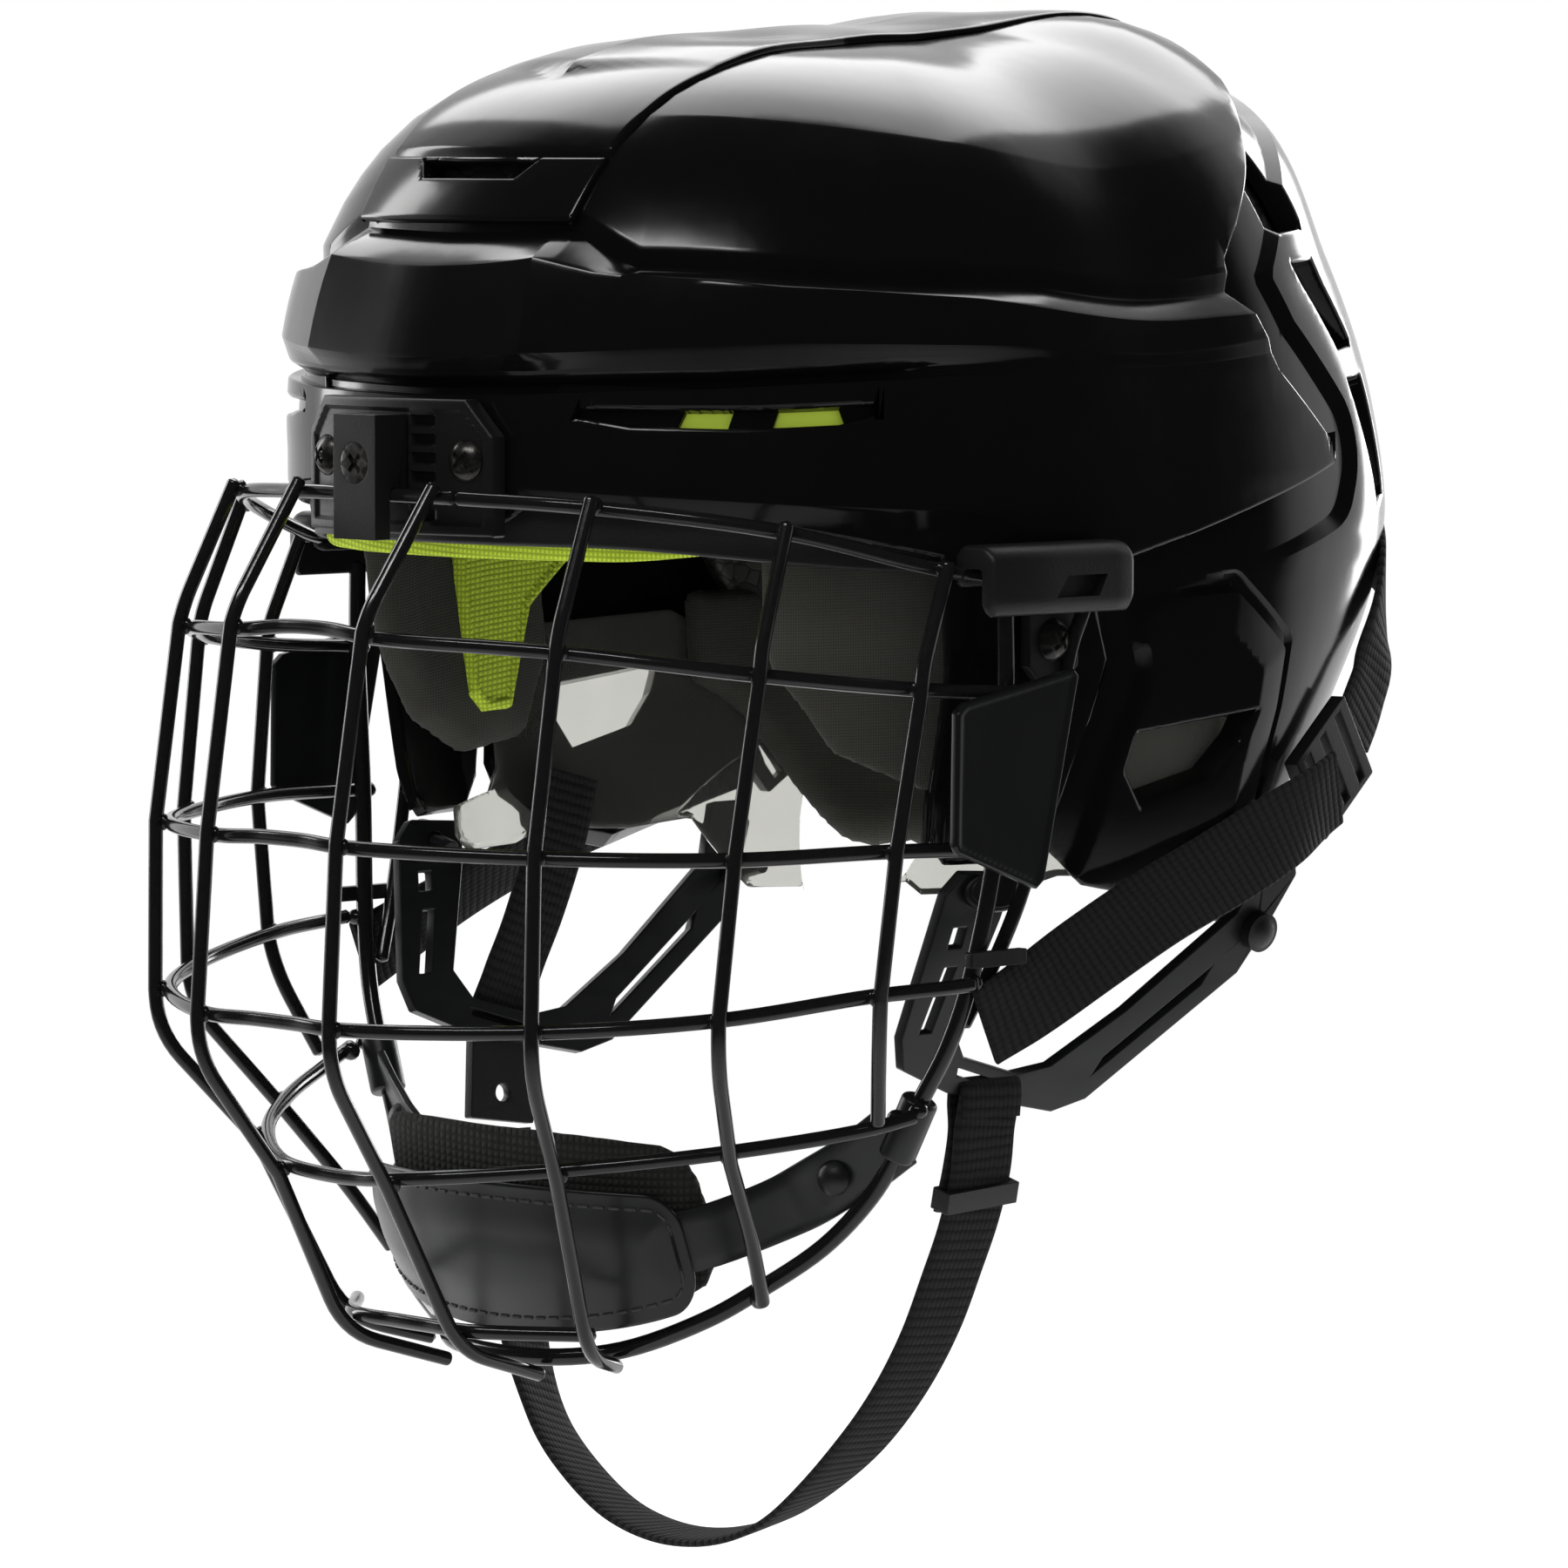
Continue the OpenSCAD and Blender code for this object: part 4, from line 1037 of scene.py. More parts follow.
def rounded_profile(r, low, high, soft, steps=4):
    """Half section of a pin or disc with rounded edges."""
    turn = np.radians(np.linspace(0, 90, steps + 1))
    foot = [(r - soft + soft * math.sin(a), low + soft - soft * math.cos(a)) for a in turn]
    head = [(r - soft + soft * math.cos(a), high - soft + soft * math.sin(a)) for a in turn]
    return [(0.02, low), *foot, *head, (0.02, high)]


# The chin cup

CUP_LEAN = -0.35
CROWN_RUN = 1.6


def cup_point(a, off, z):
    """The point of the cup at an angle a from its middle, a distance off it and a height z."""
    a, off, z = np.broadcast_arrays(np.asarray(a, float), off, z)
    turn = np.radians(a)
    y = -67 - (26 + off) * np.cos(turn) + (z + 132) * CUP_LEAN
    return np.stack([(46 + off) * np.sin(turn), y, z], -1)


def cup_sheet(reach, outer, inner, low_edge, high_edge, edge, corner, crown, under=0.0):
    """A part of the chin cup: a curved sheet with round corners that is thickest in its middle.

    low_edge and high_edge hold the height in the middle and what is added to it towards the sides.
    Gives points, faces, and the sheet's place and limit.
    """
    points, faces = flat_grid(np.linspace(-reach, reach, 97), np.linspace(0, 1, 41))

    def spans(points):
        s = np.abs(points[:, 0]) / 90
        return [middle + rise * s * s for middle, rise in (low_edge, high_edge)]

    def limit(points):
        low, high = spans(points)
        x = (np.abs(points[:, 0]) - reach) * 0.72 + corner
        y = np.abs(points[:, 1] - 0.5) * (high - low) - (high - low) / 2 + corner
        return np.hypot(np.maximum(x, 0), np.maximum(y, 0)) + np.minimum(np.maximum(x, y), 0) - corner

    def place(points, off):
        low, high = spans(points)
        return cup_point(points[:, 0], off, low + points[:, 1] * (high - low))

    def swell(points):
        return crown * ease(-limit(points), 0, corner * CROWN_RUN)

    return (*sheet_solid(points, faces, place, lambda p: outer + swell(p),
                         lambda p: inner - under * swell(p), limit, edge, round_inner=0.9), place, limit)


def soft_outline(outline, r, steps=4):
    """A closed outline with its corners rounded."""
    p = np.array(outline, float)
    out = []
    for before, corner, after in zip(np.roll(p, 1, 0), p, np.roll(p, -1, 0)):
        a, c = before - corner, after - corner
        la, lc = np.linalg.norm(a), np.linalg.norm(c)
        k = min(r, 0.42 * la, 0.42 * lc)
        start, stop = corner + a / la * k, corner + c / lc * k
        out += [(1 - t) ** 2 * start + 2 * t * (1 - t) * corner + t * t * stop
                for t in np.linspace(0, 1, steps)]
    return np.array(out)


def carve(piece, verts, faces):
    """Cuts a shape in mm out of a piece."""
    mesh = bpy.data.meshes.new("cutter")
    mesh.from_pydata([tuple(v) for v in verts * MM], [], faces)
    bm = bmesh.new()
    bm.from_mesh(mesh)
    bmesh.ops.recalc_face_normals(bm, faces=bm.faces)
    bm.to_mesh(mesh)
    bm.free()
    cutter = bpy.data.objects.new("cutter", mesh)
    bpy.context.scene.collection.objects.link(cutter)
    cut = piece.modifiers.new("cut", "BOOLEAN")
    cut.operation, cut.solver, cut.object = "DIFFERENCE", "EXACT", cutter
    bpy.context.view_layer.update()
    made = bpy.data.meshes.new_from_object(piece.evaluated_get(bpy.context.evaluated_depsgraph_get()))
    piece.modifiers.clear()
    piece.data = made
    made.shade_smooth()
    made.set_sharp_from_angle(angle=math.radians(35))
    bpy.data.objects.remove(cutter)


PUFF_FRAMES = 16
PUFF_PRESSURE = 3


def cloth_puff(piece, voxel, cap):
    """Blows a pad up as cloth from its own shape. No point moves further than cap, in mm."""
    mesh = piece.data
    remesh = piece.modifiers.new("even_grid", "REMESH")
    remesh.mode, remesh.voxel_size, remesh.use_smooth_shade = "VOXEL", voxel * MM, True
    bpy.context.view_layer.update()
    graph = bpy.context.evaluated_depsgraph_get()
    even = bpy.data.meshes.new_from_object(piece.evaluated_get(graph))
    piece.modifiers.clear()
    piece.data = even
    start = np.array([v.co for v in even.vertices])
    cloth = piece.modifiers.new("puff", "CLOTH")
    s = cloth.settings
    s.use_pressure, s.uniform_pressure_force = True, PUFF_PRESSURE
    s.tension_stiffness = s.compression_stiffness = 12
    s.bending_stiffness = 2.0
    s.effector_weights.gravity = 0
    s.quality = 5
    scene = bpy.context.scene
    cloth.point_cache.frame_end = PUFF_FRAMES
    for number in range(1, PUFF_FRAMES + 1):
        scene.frame_set(number)
    graph = bpy.context.evaluated_depsgraph_get()
    blown = bpy.data.meshes.new_from_object(piece.evaluated_get(graph))
    moved = np.array([v.co for v in blown.vertices]) - start
    length = np.linalg.norm(moved, axis=1, keepdims=True)
    limit = cap * MM
    share = np.where(length > 1e-9, limit * np.tanh(length / limit) / np.maximum(length, 1e-9), 0)
    piece.modifiers.clear()
    even.vertices.foreach_set("co", (start + moved * share).astype(np.float32).ravel())
    even.update()
    even.materials.clear()
    for material in mesh.materials:
        even.materials.append(material)
    even.shade_smooth()
    scene.frame_set(1)


# Sizes and colours

class HelmetShell(bpy.types.PropertyGroup):
    """The moulded shells."""
    colour: FloatVectorProperty(name="Shell colour", description="Gloss plastic of the shells",
                                subtype="COLOR", default=(0.0032, 0.0031, 0.0031))
    trim_colour: FloatVectorProperty(name="Trim colour", description="Satin plastic of the plate and clips",
                                     subtype="COLOR", default=(0.0062, 0.0062, 0.0066))
    polish: FloatProperty(name="Roughness", description="Roughness of the gloss plastic",
                          default=0.13, min=0.02, max=0.6)
    band_height: FloatProperty(name="Band height", description="How far the band round the shell stands out",
                               unit="LENGTH", default=0.0033, min=0.0, max=0.005)
    groove_depth: FloatProperty(name="Groove depth", description="Depth of the groove below the band",
                                unit="LENGTH", default=0.0025, min=0.0, max=0.0026)
    brow_corner: FloatProperty(name="Brow corner", description="Height of the brow's upright corners",
                               unit="LENGTH", default=0.0022, min=0.0, max=0.003)


class HelmetCage(bpy.types.PropertyGroup):
    """The wire cage."""
    colour: FloatVectorProperty(name="Wire colour", description="Coating of the wires", subtype="COLOR",
                                default=(0.006, 0.006, 0.0065))
    wire_diameter: FloatProperty(name="Wire diameter", description="Bars and uprights", unit="LENGTH",
                                 default=0.0029, min=0.0026, max=0.0032)
    frame_diameter: FloatProperty(name="Frame wire diameter", description="The wire round the cage's edge",
                                  unit="LENGTH", default=0.0035, min=0.0032, max=0.0038)
    wire_sides: IntProperty(name="Wire sides", description="Flats round a wire", default=14, min=8, max=32)


class HelmetSoft(bpy.types.PropertyGroup):
    """The pads, straps and soft plastics."""
    foam_colour: FloatVectorProperty(name="Foam colour", description="Bead foam of the liners",
                                     subtype="COLOR", default=(0.03, 0.03, 0.028))
    green_colour: FloatVectorProperty(name="Green", description="Vent liners, brow hem and temple tabs",
                                      subtype="COLOR", default=(0.72, 0.95, 0.075))
    cloth_colour: FloatVectorProperty(name="Cloth colour", description="Knitted cover of the chin cup's pad",
                                      subtype="COLOR", default=(0.021, 0.021, 0.0195))
    pad_colour: FloatVectorProperty(name="Pad colour", description="Cover of the brow, temple and nape pads",
                                    subtype="COLOR", default=(0.062, 0.062, 0.054))
    webbing_colour: FloatVectorProperty(name="Webbing colour", description="Straps", subtype="COLOR",
                                        default=(0.0145, 0.0135, 0.015))
    guard_colour: FloatVectorProperty(name="Ear guard colour", description="Milky plastic over the ears",
                                      subtype="COLOR", default=(0.74, 0.74, 0.69))
    loop_colour: FloatVectorProperty(name="Ear loop colour", description="Nylon loops, buckles and buttons",
                                     subtype="COLOR", default=(0.0062, 0.0066, 0.0075))
    webbing_width: FloatProperty(name="Webbing width", description="Width of the chin straps", unit="LENGTH",
                                 default=0.016, min=0.013, max=0.017)
    webbing_thickness: FloatProperty(name="Webbing thickness", description="Thickness of the straps",
                                     unit="LENGTH", default=0.0015, min=0.0012, max=0.0017)


class HelmetStage(bpy.types.PropertyGroup):
    """Camera, lamps and floor."""
    azimuth: FloatProperty(name="Camera azimuth", description="Round from the face", subtype="ANGLE",
                           default=math.radians(47))
    elevation: FloatProperty(name="Camera elevation", description="Above the horizon", subtype="ANGLE",
                             default=math.radians(4.5))
    distance: FloatProperty(name="Camera distance", description="From the target", unit="LENGTH",
                            default=1.65)
    target: FloatVectorProperty(name="Camera target", description="The point in the middle of the picture",
                                subtype="TRANSLATION", default=(0.0, -0.014, -0.046))
    lens: FloatProperty(name="Lens", description="Focal length in mm on a 36 mm sensor", default=188.15)
    lamp_level: FloatProperty(name="Lamp level", description="Scales every lamp", default=1.0,
                              min=0.1, max=3.0)
    floor_height: FloatProperty(name="Floor height", description="Level of the floor", unit="LENGTH",
                                default=-0.235)


# Shells and liners

class HELMET_OT_front_shell(bpy.types.Operator):
    """Front shell with its band, grooves, brow corners and vents"""
    bl_idname = "helmet.front_shell"
    bl_label = "Front shell"

    def execute(self, context):
        creases = np.array([15.5, 17.7, 22, *np.arange(23, 27, 0.25), *np.arange(56, 60, 0.25)])
        az = [np.arange(-180, 180.1, 2.25), np.arange(-75, 75.1, 1.25), creases, -creases]
        az = np.unique(np.round(np.concatenate(az), 3))
        points, faces = form_grid(az, crease_rows())
        verts, faces = sheet_solid(points, faces, on_shell, lambda p: front_relief(p[:, 0], p[:, 1]),
                                   constant(-WALL), front_limit, edge=1.1)
        stand_in("front_shell", verts, faces, crease=13)
        struts = [self.strut(*row) for row in ((17, 31.4, 0.5), (36.2, 40.6, 0.35), (47.6, 54, -0.4))]
        struts += [(mirrored(v), f[:, ::-1]) for v, f in struts]
        make_object("vent_struts", *joined(struts), finish("shell"), "front", "shell")
        return {"FINISHED"}

    def strut(self, low, high, slant):
        """A strut across the slit, between two azimuths and slanted."""
        middle, half = (low + high) / 2, (high - low) / 2

        def limit(p):
            return np.abs(p[:, 0] - middle - slant * (p[:, 1] - 16)) - half

        points, faces = form_grid(np.linspace(low - 2, high + 2, 21), levels(np.linspace(13.2, 18.6, 11)))
        return sheet_solid(points, faces, on_shell, constant(-1.7), constant(-3.25), limit, edge=0.4)


class HELMET_OT_rear_shell(bpy.types.Operator):
    """Rear shell with its shoulder, ear lobes, back ridge and slanted vents"""
    bl_idname = "helmet.rear_shell"
    bl_label = "Rear shell"

    def execute(self, context):
        side = np.concatenate([np.arange(62, 76, 1.6), np.arange(76, 136, 0.7), np.arange(136, 180, 1.5)])
        az = np.concatenate([side, [180], 360 - side[::-1]])
        rows = np.concatenate([np.arange(-48, 6, 0.8), np.arange(6, 60, 1.2), np.arange(60, 85, 2.5)])
        points, faces = creased(*form_grid(az, levels(rows)), (behind_front, SHOULDER_FOOT),
                                (behind_front, SHOULDER_FOOT + SHOULDER_RUN),
                                *((inside_lobe, step) for step in LOBE_STEP[0]),
                                (behind_fold, 0), (behind_fold, -FOLD_FADE))

        def outer(p):
            return rear_relief(p) - REAR_INSET - tuck(p[:, 0], p[:, 1])

        def inner(p):
            return -REAR_INSET - WALL - tuck(p[:, 0], p[:, 1])

        verts, faces = sheet_solid(points, faces, on_shell, outer, inner, rear_limit, edge=1.2)
        stand_in("rear_shell", verts, faces, crease=17)
        return {"FINISHED"}


class HELMET_OT_top_panels(bpy.types.Operator):
    """Crown panel with its raised roof, and the panel with the brow vent"""
    bl_idname = "helmet.top_panels"
    bl_label = "Top panels"

    def execute(self, context):
        x = np.unique(np.concatenate([np.arange(-38, 38.1, 1.6), (-0.3, 0, 0.3)]))
        points, faces = flat_grid(x, np.arange(-102, 60, 1.5))

        def crown_limit(p):
            z = over_plan(p, 0)[:, 2]
            return np.maximum.reduce([outline_distance(p[:, 0], p[:, 1], CROWN_PLAN), p[:, 1] - 57.6,
                                      (79.6 - z) * 1.3])

        def roof(p):
            x, y = np.abs(p[:, 0]), p[:, 1]
            rise = ease(y + 73 - 0.35 * x, -0.6, 3.4)
            scoop = np.exp(-(((x - 11) / 7) ** 2 + ((y + 36) / 10) ** 2))
            back = ease(y, -20, 45)
            return 1.2 - 0.5 * back + 2.0 * (1 - x / 33) * rise * (1 - 0.75 * back) - 0.9 * scoop * rise

        verts, solid = sheet_solid(points, faces, over_plan, roof, constant(0.1), crown_limit, edge=1.0,
                                   round_inner=0.2)
        stand_in("crown_panel", verts, solid, crease=24)

        points, faces = form_grid(np.arange(-22, 22.1, 0.8), levels(np.arange(30, 42.1, 0.4)))

        def nose_limit(p):
            at = on_form(p[:, 0], p[:, 1], 0)
            return np.maximum.reduce([outline_distance(at[:, 0], at[:, 1], CROWN_PLAN), 67.2 - at[:, 2],
                                      at[:, 2] - 79.2, slot_hole(at, half_width=16.6, low=75.2, high=78.4)])

        verts, solid = sheet_solid(points, faces, on_shell, constant(1.6), constant(0.1), nose_limit,
                                   edge=0.7, round_inner=0.2)
        stand_in("nose_panel", verts, solid, crease=30)
        return {"FINISHED"}


class HELMET_OT_linings(bpy.types.Operator):
    """Foam liners, vent liners, brow, temple and nape pads, and green tabs"""
    bl_idname = "helmet.linings"
    bl_label = "Linings"

    def execute(self, context):
        self.foam()
        self.vent_liners()
        self.brow_edges()
        self.nape()
        self.pads()
        return {"FINISHED"}

    def foam(self):
        def channels(p):
            grooves = np.maximum(0, np.cos(np.radians(p[:, 0] * 12))) ** 8
            return 1.6 * grooves * (1 - ease(p[:, 1], 60, 75))

        rows = np.concatenate([np.arange(-44, 62, 2.2), np.arange(62, 88, 3)])
        form_piece("front_liner", "_fine", "foam", FRONT_FOAM, outer=-6, inner=-16, edge=2.2,
                   azimuths=np.arange(-179, 179.1, 2.5), rows=rows, relief=channels)
        form_piece("rear_liner", "_fine", "foam", REAR_FOAM, outer=-7.6, inner=-17.6, edge=2.2,
                   azimuths=np.arange(62, 299, 2.5), rows=rows, tucked=1.0, relief=channels)

    def vent_liners(self):
        def limit(p):
            return outline_distance(*side_view(p), VENT_LINER)

        liners = []
        for _, side in SIDES:
            az = on_side(np.linspace(14, 58, 45), side)
            points, faces = form_grid(az, levels(np.linspace(11, 20, 14)))
            liners.append(sheet_solid(points, faces, on_shell, constant(-3.3), constant(-5.6), limit,
                                      edge=0.5))
        stand_in("vent_liners", *joined(liners))

    def brow_edges(self):
        """The green hem of the brow pad, and the liner's skirt above it."""
        def hem_limit(p):
            low = 1.7 + 1.3 * ease(np.abs(p[:, 0]), 22, 40)
            return np.maximum(low - p[:, 1], p[:, 1] - 4.6) * MM_A_DEGREE

        def hem_wave(p):
            return -6.4 + 0.2 * np.sin(np.radians(p[:, 0] * 24))

        def skirt_limit(p):
            low = 3.1 - 2.4 * ease(np.abs(p[:, 0]), 20, 58)
            return np.maximum.reduce([low - p[:, 1], p[:, 1] - 10.5, np.abs(p[:, 0]) - 62]) * MM_A_DEGREE

        def skirt_slope(p):
            return -3.6 - 0.5 * ease(p[:, 1], 6, 3)

        points, faces = form_grid(np.linspace(-44, 44, 89), levels(np.linspace(-1, 9, 26)))
        verts, faces = sheet_solid(points, faces, on_shell, hem_wave, constant(-8.6), hem_limit, edge=0.8,
                                   round_inner=1.0)
        make_object("brow_pad_green_hem", verts, faces, finish("knit"), "front", "green_cloth", crease=50)
        points, faces = form_grid(np.linspace(-66, 66, 111), levels(np.linspace(-4, 12, 41)))
        verts, faces = sheet_solid(points, faces, on_shell, skirt_slope, constant(-6.2), skirt_limit,
                                   edge=0.8, round_inner=1.0)
        make_object("brow_liner_skirt", verts, faces, finish("trim"), "front", "foam", crease=50)

    def nape(self):
        def limit(p):
            z = side_view(p, -12)[1]
            turn = np.abs(p[:, 0] - 180)
            low = -66 + 34 * ease(turn, 42, 68)
            return np.maximum.reduce([low - z, z + 12, (turn - 68) * 1.6])

        def ribs(p):
            rib = np.maximum(0, np.cos(np.radians(p[:, 0] * 15))) ** 10
            return -9.6 - tuck(p[:, 0], p[:, 1]) - 1.4 * rib

        points, faces = form_grid(np.arange(108, 252.1, 2), levels(np.arange(-44.8, -4, 1.5)))
        verts, faces = sheet_solid(points, faces, on_shell, ribs, lambda p: ribs(p) - 8.5, limit, edge=3.2,
                                   round_inner=1.0)
        nape = make_object("nape_pad", verts, faces, finish("pad"), "rear", "foam", crease=50)
        cloth_puff(nape, voxel=2.2, cap=1.6)

    def pads(self):
        brow = form_piece("brow_pad", "_cushion", "pad", BROW_PAD, outer=-16.3, inner=-21.5, edge=2.4,
                          azimuths=np.arange(-76, 76.1, 2), rows=np.arange(-2, 26, 1.2), slot="foam")
        cloth_puff(brow, voxel=1.7, cap=1.2)
        for name, side in SIDES:
            pad = form_piece("temple_pad_" + name, "_cushion", "pad", TEMPLE_PAD, outer=-12.5, inner=-19,
                             edge=2.8, azimuths=on_side(np.arange(38, 104, 1.8), side),
                             rows=np.arange(-40, 8, 1.5))
            cloth_puff(pad, voxel=1.8, cap=1.4)
            tab = form_piece("temple_tab_" + name, "_cushion", "knit", TEMPLE_TAB, outer=-19.2,
                             inner=-21.4, edge=1.1, azimuths=on_side(np.arange(56, 108, 0.6), side),
                             rows=np.arange(-30, 7, 0.6), relief=tab_hem)


class HELMET_OT_ear_guards(bpy.types.Operator):
    """Milky guards over the ears"""
    bl_idname = "helmet.ear_guards"
    bl_label = "Ear guards"

    def execute(self, context):
        def ripple(p):
            return -0.3 * ease(np.sin(p[:, 0] * 0.5), 0.6, 0.95)

        for name, side in SIDES:
            form_piece("ear_guard_" + name, "_fine", "guard", EAR_SIDE, outer=-9.6, inner=-11.4, edge=0.8,
                       azimuths=on_side(np.arange(54, 142, 1.4), side), rows=np.arange(-50, -5, 1.0),
                       relief=ripple)
        return {"FINISHED"}


# Plate, clips and screws

class HELMET_OT_hardware(bpy.types.Operator):
    """Brow plate, centre clip, side clips, plates, screws, buttons and buckles"""
    bl_idname = "helmet.hardware"
    bl_label = "Plate, clips and screws"

    BROKEN_EDGES = {"centre_clip": 1.0, "centre_screw": 0.12, "brow_screws": 0.12, "side_screws": 0.12,
                    "ear_loop_left": 0.6, "ear_loop_right": 0.6, "rear_buttons": 0.2, "buckle_left": 0.4,
                    "buckle_right": 0.4, "strap_clips": 0.4, "snap_tab": 0.4, "chin_cup_rivets": 0.1,
                    "strap_keeper": 0.3}

    def execute(self, context):
        self.brow_plate()
        for node, edge in self.BROKEN_EDGES.items():
            keep_node(node, edge)
        self.side_plates()
        self.side_clips()
        self.front_buttons()
        return {"FINISHED"}

    def brow_plate(self):
        outline = [(-27, 8), (27, 8), (27, 27), (21, 34), (-21, 34), (-27, 27)]
        radius, front = 90.0, -118.4

        def place(p, off):
            bow = radius - np.sqrt((radius + off) ** 2 - p[:, 0] ** 2)
            return np.stack([p[:, 0], front + bow, p[:, 1]], -1)

        def limit(p):
            return outline_distance(p[:, 0], p[:, 1], outline)

        def relief(p):
            frame_edge = 0.7 * (1 - ease(-limit(p), 1.8, 2.6))
            ladder = ease(3.1 - np.abs(p[:, 0] - 10), 0, 0.4) * ease(11.4 - np.abs(p[:, 1] - 21), 0, 0.4)
            rung = ease(1.0 - np.abs((p[:, 1] - 1) % 3.6 - 1.8), 0.0, 0.4)
            return frame_edge * (1 - ladder) + ladder * (2.2 * rung - 1.4)

        points, faces = flat_grid(np.linspace(-28, 28, 113), np.linspace(7, 35, 71))
        verts, faces = sheet_solid(points, faces, place, relief, constant(-2.6), limit, edge=0.6)
        stand_in("brow_plate", verts, faces, crease=26)

    def front_buttons(self):
        """Oval heads with a raised cap, each on a stud."""
        middle, facing = (84.2, -37.4, -60.8), (0.86, -0.48, 0.16)
        head, rim = lathe(rounded_profile(r=6.4, low=-1.2, high=2.0, soft=1.0), sides=40)
        cap, cap_rim = lathe(rounded_profile(r=5.2, low=1.4, high=2.5, soft=0.4), sides=40)
        stud, stud_rim = lathe(rounded_profile(r=2.1, low=-9, high=0, soft=0.3), sides=24)
        oval = np.array([(0.6, 1, 1)])
        verts, faces = joined([(turned(head * oval, middle, facing), rim),
                               (turned(cap * oval, middle, facing), cap_rim),
                               (turned(stud, (83.6, -38, -60.6), (0.97, 0, 0.24)), stud_rim)])
        stand_in("front_buttons", *with_mirror(verts, faces), crease=40)

    def side_plates(self):
        outline = [(-15.6, 13.4), (-13.4, 15.2), (14, 20.5), (15.2, 19.2), (6.6, -19.4), (4.6, -21),
                   (-15.2, -13.2), (-16, -11.8)]
        turn, thick = math.radians(-3), 1.8

        def place(p, off):
            out = thick + off
            return np.stack([100.6 + out * math.cos(turn) - p[:, 0] * math.sin(turn),
                             -48.4 + out * math.sin(turn) + p[:, 0] * math.cos(turn), -37.5 + p[:, 1]], -1)

        def limit(p):
            return outline_distance(p[:, 0], p[:, 1], outline)

        points, faces = flat_grid(np.linspace(-17, 16.5, 68), np.linspace(-22, 21.5, 88))
        verts, faces = sheet_solid(points, faces, place, lambda p: -0.25 * ease(-limit(p), 1.0, 1.5),
                                   constant(-thick), limit, edge=0.5)
        stand_in("side_plate_left", verts, faces, crease=30, look=finish("plate"))
        stand_in("side_plate_right", mirrored(verts), faces, crease=30, look=finish("plate"))

    def side_clips(self):
        """Hooked barrels with a window, each on a tongue with a screw hole."""
        hook = [(93.2, -1), (93.2, 5.2), (94.8, 7.0), (101.6, 7.0), (104.3, 4.6), (104.3, -4.0),
                (102.9, -6.4), (101.3, -6.4), (101.3, 2.5), (95.2, 2.5), (95.2, -1)]
        ring = soft_outline(hook, r=1.5)
        middle = np.array([99.0, 3.2])
        ends = [(-57, 0.8), (-56.6, 0.93), (-55.8, 1.0), (-40, 1.0), (-24, 1.0), (-20.5, 1.0), (-19.6, 0.94),
                (-19, 0.8)]
        path = np.array([(0, y, 0) for y, k in ends], float)
        rings = np.stack([((ring - middle) * k + middle) * (1, -1) for y, k in ends])
        barrel = sweep(path, rings, (1.0, 0, 0))
        tongue_form = [(-39, 2.6), (-39, -17), (-36, -20), (-28.5, -20), (-25.5, -17), (-25.5, 2.6)]

        def place(p, off):
            return np.stack([95.2 + off, p[:, 0], p[:, 1]], -1)

        def limit(p):
            hole = 1.5 - np.hypot(p[:, 0] + 32.4, p[:, 1] + 12)
            return np.maximum(outline_distance(p[:, 0], p[:, 1], tongue_form), hole)

        points, faces = flat_grid(np.linspace(-39.4, -25, 30), np.linspace(-20.6, 3, 48))
        tongue = sheet_solid(points, faces, place, constant(0.0), constant(-2.3), limit, edge=0.5)
        verts, faces = joined([barrel, tongue])
        opening = ((-40.5, -3.2), (-29, -3.2), (-28, 0.9), (-38.6, 0.9))
        window = np.array([(x, y + 1.2 * (z > 0), z) for x in (101.9, 108) for y, z in opening])
        walls = [(0, 1, 2, 3), (7, 6, 5, 4), (0, 4, 5, 1), (1, 5, 6, 2), (2, 6, 7, 3), (3, 7, 4, 0)]
        for name, side in SIDES:
            clip = stand_in("side_clip_" + name, verts * (side, 1, 1), faces, crease=35)
            carve(clip, window * (side, 1, 1), walls)


# Cage

